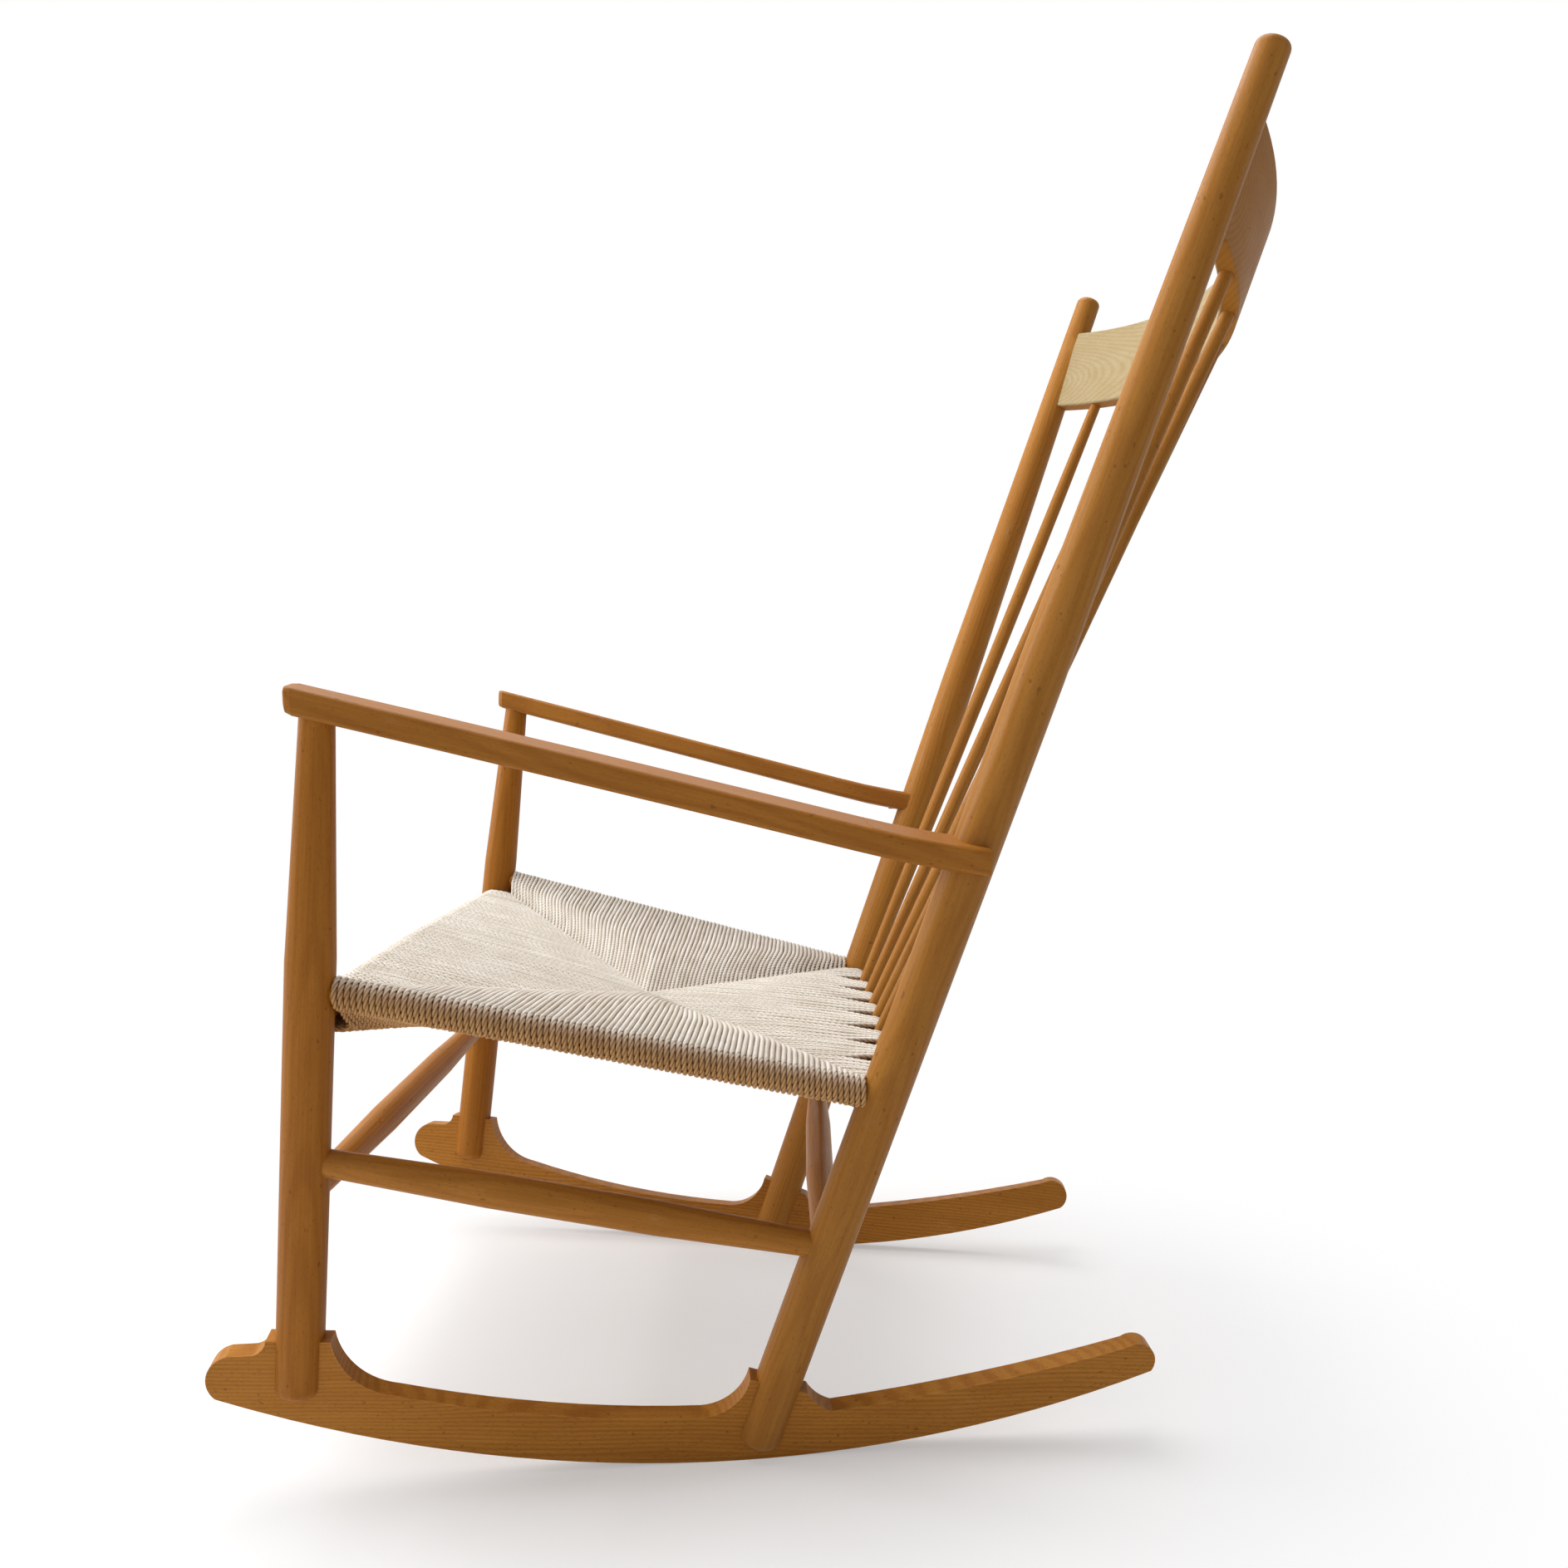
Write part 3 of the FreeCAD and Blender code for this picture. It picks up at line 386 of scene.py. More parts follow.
@dataclass
class WoodShop:
    """Gives every wooden piece its own cut of beech."""

    groups: ShaderGroups
    bump_depth: float = 0.12 * MM
    bump_strength: float = 0.35
    heart_distance: float = 0.06
    heart_spread: float = 0.01
    heart_turn: Span = (-0.35, 0.35)
    flat_sawn_turn: Span = (1.2, 1.9)
    board_stretch: float = 0.7
    shade_range: Span = (0.94, 1.06)
    worn_gain: float = 1.35
    worn_lift: float = 0.03
    crest_through: Place = (0.0, 0.94483, -0.32756)
    bow_centre: float = -0.40042
    bow_radius: float = 0.48591
    front_skin: Span = (1.4 * MM, 2.6 * MM)
    # Colour of the painted shade multiplied onto the crest's edges and back.
    painted_shade_tint: Colour = (0.88, 0.47, 0.14)
    seed: int = 11

    def finish_of(self, name: str) -> BeechFinish:
        """Chooses the finish of a piece by its name."""
        return next(finish for start, finish in FINISH_BY_START.items() if name.startswith(start))

    def grain_frame(self, node: bpy.types.Object) -> tuple[Vector, Euler]:
        """Finds a piece's middle and the turn that lays X along its length.

        Args:
            node: The piece.

        Returns:
            Its middle and the turn.
        """
        points = np.empty(len(node.data.vertices) * 3)
        node.data.vertices.foreach_get("co", points)
        points = points.reshape(-1, 3)
        middle = (points.min(0) + points.max(0)) / 2
        _, _, axes = np.linalg.svd(points - points.mean(0), full_matrices=False)
        along = axes[0] if axes[0][np.argmax(np.abs(axes[0]))] > 0 else -axes[0]
        across = axes[1] - along * axes[1].dot(along)
        across /= np.linalg.norm(across)
        turn = Matrix((along, across, np.cross(along, across))).transposed()
        return Vector(middle), turn.to_euler()

    def grain_place(self, desk: NodeDesk, place: bpy.types.NodeSocket, node: bpy.types.Object, cut: BoardCut,
                    rng: np.random.Generator) -> bpy.types.NodeSocket:
        """Lays the grain along a piece, with the heart of the log beside it.

        Args:
            desk: Desk of the piece's material.
            place: Its Object coordinates.
            node: The piece.
            cut: How it was cut from the log.
            rng: Seeded source of random numbers.

        Returns:
            The place that the grain reads.
        """
        middle, turn = self.grain_frame(node)
        lay = desk.add("ShaderNodeMapping", vector_type="TEXTURE")
        desk.feed(lay.inputs["Vector"], place)
        lay.inputs["Rotation"].default_value = turn
        lay.inputs["Location"].default_value = middle
        shift = desk.add("ShaderNodeMapping")
        desk.feed(shift.inputs["Vector"], lay.outputs[0])
        heart = self.heart_distance
        angle = rng.uniform(*(self.flat_sawn_turn if cut is BoardCut.FLAT_SAWN else self.heart_turn))
        along, aside = rng.uniform(-1, 1), rng.uniform(-self.heart_spread, self.heart_spread)
        shift.inputs["Location"].default_value = (along, heart * math.cos(angle) + aside, heart * math.sin(angle))
        return shift.outputs[0]

    def hollow_front(self, desk: NodeDesk, place: bpy.types.NodeSocket) -> bpy.types.NodeSocket:
        """Gives 1 on the crest's hollow front, which keeps its pale, lit colour, and 0 on its edges and back, which
        get painted shade.

        The front is part of a cylinder of bow_radius, whose axis lies at bow_centre along crest_through, the
        direction through the board.

        Args:
            desk: Desk of the crest's material.
            place: Its Object coordinates.

        Returns:
            The mask.
        """
        parts = desk.add("ShaderNodeSeparateXYZ")
        desk.feed(parts.inputs[0], place)
        through = desk.vector("DOT_PRODUCT", place, self.crest_through).outputs["Value"]
        flat = desk.add("ShaderNodeCombineXYZ")
        desk.feed(flat.inputs["X"], parts.outputs["X"])
        desk.feed(flat.inputs["Y"], desk.math("SUBTRACT", through, self.bow_centre))
        distance = desk.vector("LENGTH", flat.outputs[0]).outputs["Value"]
        shallow, deep = self.front_skin
        return desk.ramp(distance, self.bow_radius + deep, self.bow_radius + shallow)

    def material(self, node: bpy.types.Object, finish: BeechFinish, number: int) -> bpy.types.Material:
        """Builds one piece's material.

        Args:
            node: The piece.
            finish: Its colours and lacquer.
            number: Its place in the list of pieces, which moves the grain.

        Returns:
            The new material.
        """
        rng = np.random.default_rng(self.seed + number)
        material, desk = blank_material("beech_" + node.name)
        coordinates = desk.add("ShaderNodeTexCoord").outputs["Object"]
        place = self.grain_place(desk, coordinates, node, finish.cut, rng)
        grain = desk.group(self.groups.groups["beech_grain"], place)
        shade = float(rng.uniform(*self.shade_range))
        for label, colour in (("Early", finish.early_wood), ("Late", finish.late_wood), ("Fleck", finish.fleck)):
            grain.inputs[label].default_value = (*(shade * c for c in colour), 1)
        stretch = 1.0 if finish.cut is BoardCut.TURNED else self.board_stretch
        for label, value in (("Ring Contrast", finish.ring_contrast), ("Fleck Amount", finish.fleck_amount),
                             ("Patina", finish.patina), ("Ring Stretch", stretch)):
            grain.inputs[label].default_value = value
        wear = desk.group(self.groups.groups["worn_edge"], place)
        worn = (*(min(c * self.worn_gain + self.worn_lift, 1) for c in finish.early_wood), 1)
        rubbed = desk.math("MULTIPLY", wear.outputs["Mask"], finish.edge_wear)
        colour = desk.mix(rubbed, grain.outputs["Color"], worn)
        # Painted shade: darkens the crest's edges and back against its pale, lit front.
        if finish.painted_back_shade:
            tint = desk.mix(self.hollow_front(desk, coordinates), (*self.painted_shade_tint, 1), WHITE)
            colour = desk.mix(1.0, colour, tint, blend="MULTIPLY")
        bump = desk.add("ShaderNodeBump")
        bump.inputs["Distance"].default_value = self.bump_depth
        bump.inputs["Strength"].default_value = self.bump_strength
        desk.feed(bump.inputs["Height"], grain.outputs["Height"])
        surface = desk.add("ShaderNodeBsdfPrincipled")
        desk.feed(surface.inputs["Base Color"], colour)
        desk.feed(surface.inputs["Roughness"], grain.outputs["Roughness"])
        desk.feed(surface.inputs["Normal"], bump.outputs[0])
        surface.inputs["Coat Weight"].default_value = finish.coat
        surface.inputs["Coat Roughness"].default_value = finish.coat_roughness
        surface.inputs["Specular IOR Level"].default_value = finish.specular
        desk.show(surface.outputs[0])
        return material

    def dress(self, nodes: dict[str, bpy.types.Object]) -> int:
        """Puts a material on each wooden piece.

        Args:
            nodes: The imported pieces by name.

        Returns:
            How many pieces were dressed.
        """
        wooden = [name for name in sorted(nodes) if name != "seat_weave"]
        for number, name in enumerate(wooden):
            node = nodes[name]
            material = self.material(node, self.finish_of(name), number)
            for slot in node.material_slots:
                slot.material = material
            LOG.info("%s: beech, %s", name, self.finish_of(name).cut.value)
        return len(wooden)


@dataclass(frozen=True)
class Lay:
    """How the strands of one panel lie."""

    outward: Points
    sideways: Points
    crown: float
    fans_at_rail: bool = False
    full_length: float = 0.12
    swell_lean: float = 1.25


@dataclass
class CordSeat:
    """The woven seat: each strand of cord runs from the mitre round its rail and back under. Lengths are in metres."""

    groups: ShaderGroups
    finish: CordFinish = field(default_factory=CordFinish)
    cord_radius: float = 2.25 * MM
    groove_radius: float = 1.5 * MM
    pitch: float = 4.4 * MM
    twist_length: float = 17.0 * MM
    plies: int = 3
    points_per_ply: int = 3
    ring_spacing: float = 1.8 * MM
    sample: float = 9.0 * MM
    sway: float = 0.28 * MM
    wrap_points: int = 10
    dive: float = 4.4 * MM
    dive_share: float = 0.35
    wrap_slack: float = 0.35 * MM
    pile: float = 0.7 * MM
    # How fast the top's painted light, partly also sun bleaching, falls off round the rail.
    lit_bleach_fall: float = 6.0
    side_front: Place = (0.2826, -0.300, 0.4018)
    side_rear: Place = (0.2240, 0.1106, 0.3068)
    side_radius: float = 8.6 * MM
    side_clear: Span = (0.0145, 0.0100)
    side_crown: float = 7.0 * MM
    end_crown: float = 2.0 * MM
    pull: float = 0.055
    bend_start: float = 0.4
    front_line: Span = (-0.3082, 0.379)
    front_reach: float = 0.2605
    front_radii: Span = (0.0093, 0.012)
    rear_line: Span = (0.111, 0.300)
    rear_bow: float = 0.0095
    rear_reach: float = 0.2025
    fan_length: float = 0.03
    fan_share: float = 0.7
    sway_rise: float = 6.0
    rear_radius: float = 9.0 * MM
    spindle_feet: tuple[float, ...] = (-0.15, -0.1, -0.05, 0.0, 0.05, 0.1, 0.15)
    spindle_room: float = 8.2 * MM
    rear_strands: int = 10
    centre: Span = (-0.095, 0.3320)
    centre_under: float = 0.3185
    corner_front: Place = (0.277, -0.302, 0.391)
    corner_rear: Place = (0.218, 0.108, 0.3105)
    under_front: float = 0.3690
    under_rear: float = 0.2895
    seed: int = 5

    def mitre(self, share: float, rear: bool, side: Face) -> Place:
        """Gives a point of the line where two panels meet.

        Args:
            share: Place along the line, 0 at the seat's centre and 1 at the corner.
            rear: True for a rear corner.
            side: Top or underside.

        Returns:
            Its distance from the chair's middle, its place front to back, and its height.
        """
        across, back, height = self.corner_rear if rear else self.corner_front
        middle_back, middle_height = self.centre
        if side is Face.UNDER:
            height = self.under_rear if rear else self.under_front
            middle_height = self.centre_under
        return (share * across, middle_back + share * (back - middle_back),
                middle_height + share * (height - middle_height))

    def run(self, rail: Points, mitre: Points, lay: Lay, crown: float, rng: np.random.Generator) -> Points:
        """Lays a strand across a panel, from its rail in to the mitre.

        Args:
            rail: Where it leaves the rail.
            mitre: Where it dives.
            lay: How its panel lies.
            crown: Height of the panel's swell over a straight line.
            rng: Seeded source of random numbers.

        Returns:
            The strand's points.
        """
        length = float(np.linalg.norm(mitre - rail))
        sway = smooth_noise(length, self.sample, self.sway, rng)
        lift = smooth_noise(length, self.sample, self.sway, rng)
        shares = np.linspace(0, 1, len(sway))
        fade = np.minimum(1, self.sway_rise * shares * (1 - shares))
        swell = crown * min(1, length / lay.full_length) * np.sin(math.pi * shares ** lay.swell_lean)
        aside = float((mitre - rail) @ lay.sideways)
        forward = mitre - rail - lay.sideways * aside
        if lay.fans_at_rail:
            bend = np.clip(shares * length / min(self.fan_length, self.fan_share * length), 0, 1)
        else:
            bend = np.clip((shares - self.bend_start) / (1 - self.bend_start), 0, 1)
        bend = bend ** 2 * (3 - 2 * bend)
        line = rail + np.outer(shares, forward) + np.outer(aside * bend + sway * fade, lay.sideways)
        return line + np.outer(swell + lift * fade, UP)

    def strand(self, axis: Points, radius: float, ends: list[Points], lay: Lay, rng: np.random.Generator) -> Points:
        """Lays one strand: from the mitre to its rail, round it, and back on the underside.

        Args:
            axis: Point on the rail's axis.
            radius: Radius of the cord's own line round the rail.
            ends: Where it dives on the top and on the underside.
            lay: How its panel lies.
            rng: Seeded source of random numbers.

        Returns:
            The strand's points in order, each with its share of painted light: 1 on the lit top, falling round the
            rail to 0 on the shaded underside, partly also standing for sun bleaching.
        """
        slack = radius + rng.uniform(0, self.wrap_slack)
        angles = np.linspace(0, math.pi, self.wrap_points)
        turns = axis + slack * (np.outer(np.cos(angles), UP) + np.outer(np.sin(angles), lay.outward))
        top, under = ends
        inward = lay.outward * -self.cord_radius
        sink = UP * self.dive
        over = self.run(turns[0], top, lay, lay.crown, rng)[::-1]
        below = self.run(turns[-1], under, lay, -lay.crown / 2, rng)
        head = np.array((top + 2 * inward - sink, top + inward - sink * self.dive_share))
        tail = np.array((under + inward + sink * self.dive_share, under + 2 * inward + sink))
        points = np.concatenate((head, over[:-1], turns, below[1:], tail))
        # Painted light: 1 on the top runs, falling round the rail to 0 on the underside, partly also sun bleaching.
        sunlit, shaded = np.ones(len(head) + len(over) - 1), np.zeros(len(below) - 1 + len(tail))
        round_rail = ((1 + np.cos(angles)) / 2) ** self.lit_bleach_fall
        return np.column_stack((points, np.concatenate((sunlit, round_rail, shaded))))

    def side_strands(self, hand: int, rng: np.random.Generator) -> list[Points]:
        """Lays the strands over one side rail.

        Args:
            hand: 1 for the sitter's left, -1 for the right.
            rng: Seeded source of random numbers.

        Returns:
            The strands from front to rear.
        """
        lay = Lay(np.array((1.0, 0, 0)), np.array((0, 1.0, 0)), self.side_crown)
        front, rear = np.array(self.side_front), np.array(self.side_rear)
        first, last = front[1] + self.side_clear[0], rear[1] - self.side_clear[1]
        strands = []
        for back in np.linspace(first, last, int(round((last - first) / self.pitch)) + 1):
            axis = front + (rear - front) * (back - front[1]) / (rear[1] - front[1])
            is_rear = back > self.centre[0]
            corner = self.corner_rear if is_rear else self.corner_front
            share = abs((back - self.centre[0]) / (corner[1] - self.centre[0]))
            share -= self.pull * math.sin(math.pi * min(share, 1))
            ends = [np.array(self.mitre(share, is_rear, side)) for side in Face]
            points = self.strand(axis, self.side_radius + self.cord_radius, ends, lay, rng)
            points[:, 0] *= hand
            strands.append(points)
        return strands

    def front_strands(self, rng: np.random.Generator) -> list[Points]:
        """Lays the strands over the front rail, from the sitter's right to the left."""
        back, height = self.front_line
        lay = Lay(np.array((0, -1.0, 0)), np.array((1.0, 0, 0)), self.end_crown)
        strands = []
        count = int(round(2 * self.front_reach / self.pitch)) + 1
        for across in np.linspace(-self.front_reach, self.front_reach, count):
            share = abs(across) / self.corner_front[0]
            slim, thick = self.front_radii
            radius = thick + (slim - thick) * share + self.cord_radius
            ends = [np.array(self.mitre(share, False, side)) for side in Face]
            for end in ends:
                end[0] = across
            strands.append(self.strand(np.array((across, back, height)), radius, ends, lay, rng))
        return strands

    def rear_places(self) -> list[float]:
        """Gives where the strands sit on the rear rail, bunched between the spindles."""
        edges = [-self.rear_reach, *self.spindle_feet, self.rear_reach]
        places = []
        for index, (low, high) in enumerate(zip(edges, edges[1:])):
            low += self.spindle_room + self.cord_radius if index else 0
            high -= self.spindle_room + self.cord_radius if index < len(edges) - 2 else 0
            places += list(np.linspace(low, high, self.rear_strands))
        return places

    def rear_strands_laid(self, rng: np.random.Generator) -> list[Points]:
        """Lays the strands that fan out from between the spindles to the mitre."""
        back, height = self.rear_line
        lay = Lay(np.array((0, 1.0, 0)), np.array((1.0, 0, 0)), self.end_crown, fans_at_rail=True)
        places = self.rear_places()
        fan = np.linspace(-self.rear_reach, self.rear_reach, len(places))
        strands = []
        for number, (across, target) in enumerate(zip(places, fan)):
            bow = self.rear_bow * (1 - (across / self.corner_rear[0]) ** 2)
            share = abs(target) / self.corner_rear[0]
            ends = [np.array(self.mitre(share, True, side)) for side in Face]
            for end in ends:
                end[0] = target
            radius = self.rear_radius + self.cord_radius + (number % 2) * self.pile
            strands.append(self.strand(np.array((across, back + bow, height)), radius, ends, lay, rng))
        return strands

    def twisting(self) -> bpy.types.NodeTree:
        """Builds the Geometry Nodes tree that turns lines into twisted three-ply cord."""
        tree = bpy.data.node_groups.new("twisted_cord", "GeometryNodeTree")
        for label, kind in (("Geometry", "Geometry"), ("Cord Radius", "Float"), ("Groove Radius", "Float"),
                            ("Twist Length", "Float"), ("Ring Spacing", "Float"), ("Material", "Material"),
                            ("Seed", "Int")):
            tree.interface.new_socket(label, in_out="INPUT", socket_type="NodeSocket" + kind)
        tree.interface.new_socket("Geometry", in_out="OUTPUT", socket_type="NodeSocketGeometry")
        desk = NodeDesk(tree)
        given = desk.add("NodeGroupInput")
        lines = desk.add("GeometryNodeMeshToCurve")
        desk.feed(lines.inputs["Mesh"], given.outputs["Geometry"])
        even = desk.add("GeometryNodeResampleCurve", mode="LENGTH")
        desk.feed(even.inputs["Curve"], lines.outputs[0])
        desk.feed(even.inputs["Length"], given.outputs["Ring Spacing"])
        chance = desk.add("FunctionNodeRandomValue", data_type="FLOAT")
        desk.feed(chance.inputs["Seed"], given.outputs["Seed"])
        tone = desk.add("GeometryNodeStoreNamedAttribute", data_type="FLOAT", domain="CURVE")
        tone.inputs["Name"].default_value = "strand_tone"
        desk.feed(tone.inputs["Geometry"], even.outputs[0])
        desk.feed(tone.inputs["Value"], next(s for s in chance.outputs if s.type == "VALUE"))
        along = desk.add("GeometryNodeSplineParameter")
        turns = desk.math("DIVIDE", along.outputs["Length"], given.outputs["Twist Length"])
        phase = desk.add("GeometryNodeInputNamedAttribute", data_type="FLOAT")
        phase.inputs["Name"].default_value = "strand_tone"
        start = desk.math("MULTIPLY", phase.outputs["Attribute"], math.tau)
        tilt = desk.add("GeometryNodeSetCurveTilt")
        desk.feed(tilt.inputs["Curve"], tone.outputs[0])
        desk.feed(tilt.inputs["Tilt"], desk.math("MULTIPLY_ADD", turns, math.tau, start))
        circle = desk.add("GeometryNodeCurvePrimitiveCircle")
        circle.inputs["Resolution"].default_value = self.plies * self.points_per_ply
        circle.inputs["Radius"].default_value = 1.0
        index = desk.add("GeometryNodeInputIndex")
        on_ply = desk.math("MINIMUM", desk.math("MODULO", index.outputs[0], float(self.points_per_ply)), 1.0)
        depth = desk.math("SUBTRACT", given.outputs["Cord Radius"], given.outputs["Groove Radius"])
        radius = desk.math("MULTIPLY_ADD", on_ply, depth, given.outputs["Groove Radius"])
        place = desk.add("GeometryNodeInputPosition")
        section = desk.add("GeometryNodeSetPosition")
        desk.feed(section.inputs["Geometry"], circle.outputs[0])
        scaled = desk.vector("SCALE", place.outputs[0])
        desk.feed(scaled.inputs["Scale"], radius)
        desk.feed(section.inputs["Position"], scaled.outputs[0])
        # Marks the plies' crowns; the cord material paints shade in the grooves between them.
        crown = desk.add("GeometryNodeStoreNamedAttribute", data_type="FLOAT", domain="POINT")
        crown.inputs["Name"].default_value = "ply_crown"
        desk.feed(crown.inputs["Geometry"], section.outputs[0])
        desk.feed(crown.inputs["Value"], on_ply)
        tube = desk.add("GeometryNodeCurveToMesh")
        tube.inputs["Fill Caps"].default_value = True
        desk.feed(tube.inputs["Curve"], tilt.outputs[0])
        desk.feed(tube.inputs["Profile Curve"], crown.outputs[0])
        soft = desk.add("GeometryNodeSetShadeSmooth")
        desk.feed(soft.inputs["Geometry"], tube.outputs[0])
        coat = desk.add("GeometryNodeSetMaterial")
        desk.feed(coat.inputs["Geometry"], soft.outputs[0])
        desk.feed(coat.inputs["Material"], given.outputs["Material"])
        real = desk.add("GeometryNodeRealizeInstances")
        desk.feed(real.inputs[0], coat.outputs[0])
        out = desk.add("NodeGroupOutput")
        desk.feed(out.inputs[0], real.outputs[0])
        return tree

    def material(self) -> bpy.types.Material:
        """Builds the paper cord's material."""
        finish = self.finish
        material, desk = blank_material("paper_cord_twisted")
        coordinates = desk.add("ShaderNodeTexCoord")
        fibre = desk.group(self.groups.groups["paper_fibre"], coordinates.outputs["Object"])
        tone = desk.add("ShaderNodeAttribute", attribute_name="strand_tone").outputs["Fac"]
        crown = desk.add("ShaderNodeAttribute", attribute_name="ply_crown").outputs["Fac"]
        # Painted light of the lit top, partly also sun bleaching, carried from the strands.
        lit_and_bleached = desk.add("ShaderNodeAttribute", attribute_name="lit_and_bleached").outputs["Fac"]
        blotches = desk.math("MULTIPLY", fibre.outputs["Blotch"], finish.blotch_share)
        mixed = desk.math("MULTIPLY_ADD", tone, finish.tone_share, blotches)
        fibres = desk.ramp(fibre.outputs["Fibre"], *finish.fibre_edge)
        mixed = desk.math("MULTIPLY_ADD", fibres, finish.fibre_share, mixed, clamp=True)
        light, dark, groove_shade = (
            desk.mix(lit_and_bleached, (*fresh, 1), (*lit_faded, 1))
            for fresh, lit_faded in ((finish.light, finish.lit_bleached_light), (finish.dark, finish.lit_bleached_dark),
                                 (finish.groove_shade, finish.lit_groove_shade)))
        # Painted shade in the grooves between the plies.
        hollow = desk.math("MULTIPLY", desk.ramp(crown, *finish.groove_shade_edge), finish.groove_shade_share)
        colour = desk.mix(hollow, desk.mix(mixed, light, dark), groove_shade)
        bump = desk.add("ShaderNodeBump")
        bump.inputs["Distance"].default_value = finish.bump_depth
        bump.inputs["Strength"].default_value = finish.bump_strength
        desk.feed(bump.inputs["Height"], fibre.outputs["Fibre"])
        surface = desk.add("ShaderNodeBsdfPrincipled")
        desk.feed(surface.inputs["Base Color"], colour)
        desk.feed(surface.inputs["Normal"], bump.outputs[0])
        surface.inputs["Roughness"].default_value = finish.roughness
        surface.inputs["Sheen Weight"].default_value = finish.sheen
        surface.inputs["Specular IOR Level"].default_value = finish.specular
        desk.show(surface.outputs[0])
        return material

    def wind(self, name: str, strands: list[Points], tree: bpy.types.NodeTree, material: bpy.types.Material,
             number: int) -> bpy.types.Object:
        """Makes one panel's cords.

        Args:
            name: Name of the piece.
            strands: Its strands' lines.
            tree: The tree that twists them.
            material: The cord's material.
            number: Seed of its strands' tones.

        Returns:
            The finished piece, a plain mesh.
        """
        points = np.concatenate(strands)
        edges = []
        start = 0
        for line in strands:
            edges += [(start + i, start + i + 1) for i in range(len(line) - 1)]
            start += len(line)
        lines = bpy.data.meshes.new(name + "_lines")
        lines.from_pydata(points[:, :3].tolist(), edges, [])
        # Carries each point's share of painted light, partly also sun bleaching, to the material.
        lines.attributes.new("lit_and_bleached", "FLOAT", "POINT").data.foreach_set("value", points[:, 3].copy())
        carrier = new_object(name + "_lines", lines)
        modifier = carrier.modifiers.new("twist", "NODES")
        modifier.node_group = tree
        for label, value in (("Cord Radius", self.cord_radius), ("Groove Radius", self.groove_radius),
                             ("Twist Length", self.twist_length), ("Ring Spacing", self.ring_spacing),
                             ("Material", material), ("Seed", number)):
            modifier[socket_id(tree, label)] = value
        bpy.context.view_layer.update()
        made = carrier.evaluated_get(bpy.context.evaluated_depsgraph_get())
        mesh = bpy.data.meshes.new_from_object(made)
        piece = new_object(name, mesh)
        carrier.modifiers.remove(modifier)
        bpy.data.objects.remove(carrier)
        bpy.data.meshes.remove(lines)
        return piece

    def build(self) -> list[bpy.types.Object]:
        """Makes the whole seat.

        Returns:
            The seat's pieces.
        """
        rng = np.random.default_rng(self.seed)
        tree, material = self.twisting(), self.material()
        families = {
            "left": self.side_strands(1, rng),
            "right": self.side_strands(-1, rng),
            "front": self.front_strands(rng),
            "rear": self.rear_strands_laid(rng),
        }
        pieces = []
        for family, strands in families.items():
            middle = len(strands) // 2
            for half, part in (("a", strands[:middle]), ("b", strands[middle:])):
                piece = self.wind("seat_cord_%s_%s" % (family, half), part, tree, material, len(pieces))
                pieces.append(piece)
                LOG.info("%s: %d strands, %d faces", piece.name, len(part), len(piece.data.polygons))
        return pieces


@dataclass(frozen=True)
class Lamp:
    """One soft, square area lamp of white light."""

    name: str
    place: Place
    target: Place
    size: float
    watts: float

    def hang(self) -> None:
        """Adds the lamp to the scene, facing its target."""
        data = bpy.data.lights.new(self.name, "AREA")
        data.shape = "SQUARE"
        data.size = self.size
        data.energy = self.watts
        lamp = new_object(self.name, data)
        lamp.location = self.place
        lamp.rotation_euler = (Vector(self.target) - Vector(self.place)).to_track_quat("-Z", "Y").to_euler()
        lamp.visible_camera = False


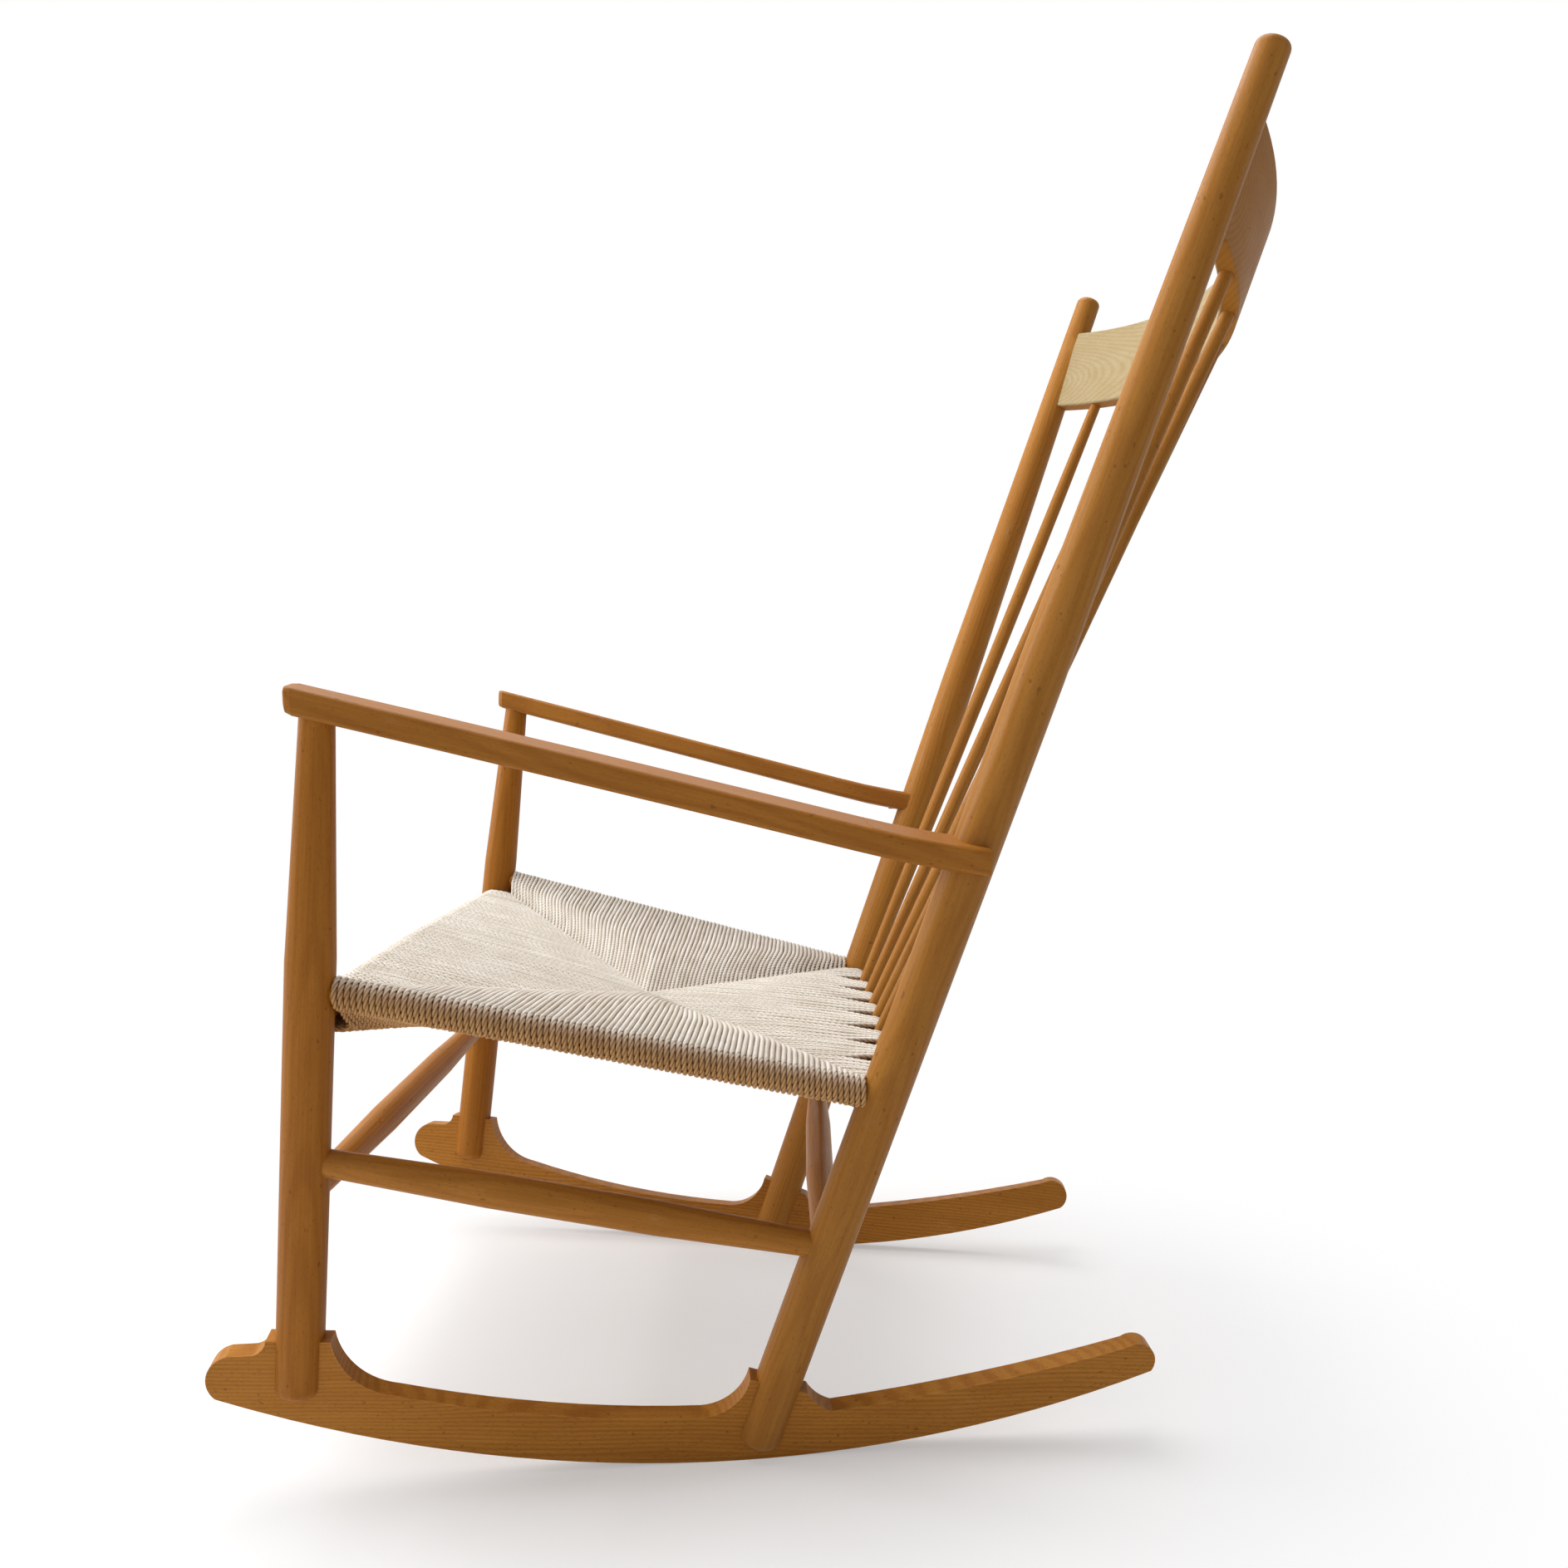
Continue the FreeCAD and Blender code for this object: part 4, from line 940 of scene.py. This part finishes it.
@dataclass
class Studio:
    """Pale floor, soft lamps and the photograph's camera."""

    lens: float = 28.62
    sensor: float = 36.0
    eye: Place = (1.1767, 0.0546, 0.6112)
    right: Place = (-0.015691, 0.999876, -0.001037)
    up: Place = (-0.065975, 0.0, 0.997821)
    backward: Place = (0.997698, 0.015725, 0.065967)
    clip: Span = (0.01, 100.0)
    ambient: float = 0.24
    lamps: tuple[Lamp, ...] = (
        Lamp("overhead", (-0.4, -0.5, 3.0), (0, 0, 0.4), size=2.4, watts=84.0),
        Lamp("window", (-0.3, -2.9, 1.7), (0, 0, 0.6), size=1.8, watts=74.0),
        Lamp("fill", (2.8, -1.0, 1.5), (0, 0, 0.5), size=2.4, watts=13.0),
    )
    floor_size: float = 14.0
    floor_stretch: Place = (1.25, 1.0, 1.0)
    floor_fade: Span = (0.3, 0.8)
    shadow_wash: float = 0.35
    white: Colour = (0.93, 0.93, 0.93)

    def camera(self) -> None:
        """Sets up the camera at the photograph's viewpoint."""
        data = bpy.data.cameras.new("photo_camera")
        data.lens = self.lens
        data.sensor_width = self.sensor
        data.clip_start, data.clip_end = self.clip
        camera = new_object("photo_camera", data)
        turn = Matrix((self.right, self.up, self.backward)).transposed().to_4x4()
        camera.matrix_world = Matrix.Translation(self.eye) @ turn
        bpy.context.scene.camera = camera

    def white_background(self, desk: NodeDesk) -> bpy.types.NodeSocket:
        """Gives 1 for camera, glossy and transmission rays, which see plain white."""
        path = desk.add("ShaderNodeLightPath")
        seen = desk.math("MAXIMUM", path.outputs["Is Camera Ray"], path.outputs["Is Glossy Ray"])
        return desk.math("MAXIMUM", seen, path.outputs["Is Transmission Ray"])

    def world(self) -> None:
        """Lights the scene evenly and shows white behind it."""
        world = bpy.data.worlds.new("studio")
        bpy.context.scene.world = world
        world.use_nodes = True
        world.node_tree.nodes.clear()
        desk = NodeDesk(world.node_tree)
        soft = desk.add("ShaderNodeBackground")
        soft.inputs["Color"].default_value = WHITE
        soft.inputs["Strength"].default_value = self.ambient
        white = desk.add("ShaderNodeBackground")
        white.inputs["Color"].default_value = WHITE
        choice = desk.add("ShaderNodeMixShader")
        desk.feed(choice.inputs[0], self.white_background(desk))
        desk.feed(choice.inputs[1], soft.outputs[0])
        desk.feed(choice.inputs[2], white.outputs[0])
        desk.show(choice.outputs[0], "ShaderNodeOutputWorld")

    def floor(self) -> None:
        """Lays a pale floor that keeps the chair's shadow and fades to white away from it."""
        half = self.floor_size / 2
        mesh = bpy.data.meshes.new("studio_floor")
        corners = [(-half, -half, 0), (half, -half, 0), (half, half, 0), (-half, half, 0)]
        mesh.from_pydata(corners, [], [(0, 1, 2, 3)])
        floor = new_object("studio_floor", mesh)
        material, desk = blank_material("pale_floor")
        coordinates = desk.add("ShaderNodeTexCoord")
        stretched = desk.vector("MULTIPLY", coordinates.outputs["Object"], self.floor_stretch).outputs[0]
        distance = desk.vector("LENGTH", stretched).outputs["Value"]
        fade = desk.ramp(distance, *self.floor_fade)
        far = desk.math("MULTIPLY_ADD", fade, 1 - self.shadow_wash, self.shadow_wash)
        matt = desk.add("ShaderNodeBsdfDiffuse")
        matt.inputs["Color"].default_value = (*self.white, 1)
        glow = desk.add("ShaderNodeEmission")
        glow.inputs["Strength"].default_value = 1.0
        choice = desk.add("ShaderNodeMixShader")
        desk.feed(choice.inputs[0], desk.math("MULTIPLY", far, self.white_background(desk)))
        desk.feed(choice.inputs[1], matt.outputs[0])
        desk.feed(choice.inputs[2], glow.outputs[0])
        desk.show(choice.outputs[0])
        mesh.materials.append(material)

    def build(self) -> None:
        """Sets up the whole studio."""
        self.camera()
        self.world()
        self.floor()
        for lamp in self.lamps:
            lamp.hang()
        bpy.context.scene.view_settings.view_transform = "Standard"


def main() -> None:
    """Dresses the chair and sets up the studio."""
    logging.basicConfig(level=logging.INFO, format="%(name)s: %(message)s")
    groups = ShaderGroups()
    groups.beech_grain()
    groups.worn_edge()
    groups.paper_fibre()
    Studio().build()
    dressed = WoodShop(groups).dress(frame["nodes"])
    LOG.info("wood: %d pieces", dressed)
    seat = CordSeat(groups).build()
    for piece in seat:
        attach(piece, "root")
        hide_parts("seat_weave")
    LOG.info("seat: %d pieces", len(seat))


if __name__ == "__main__":
    main()
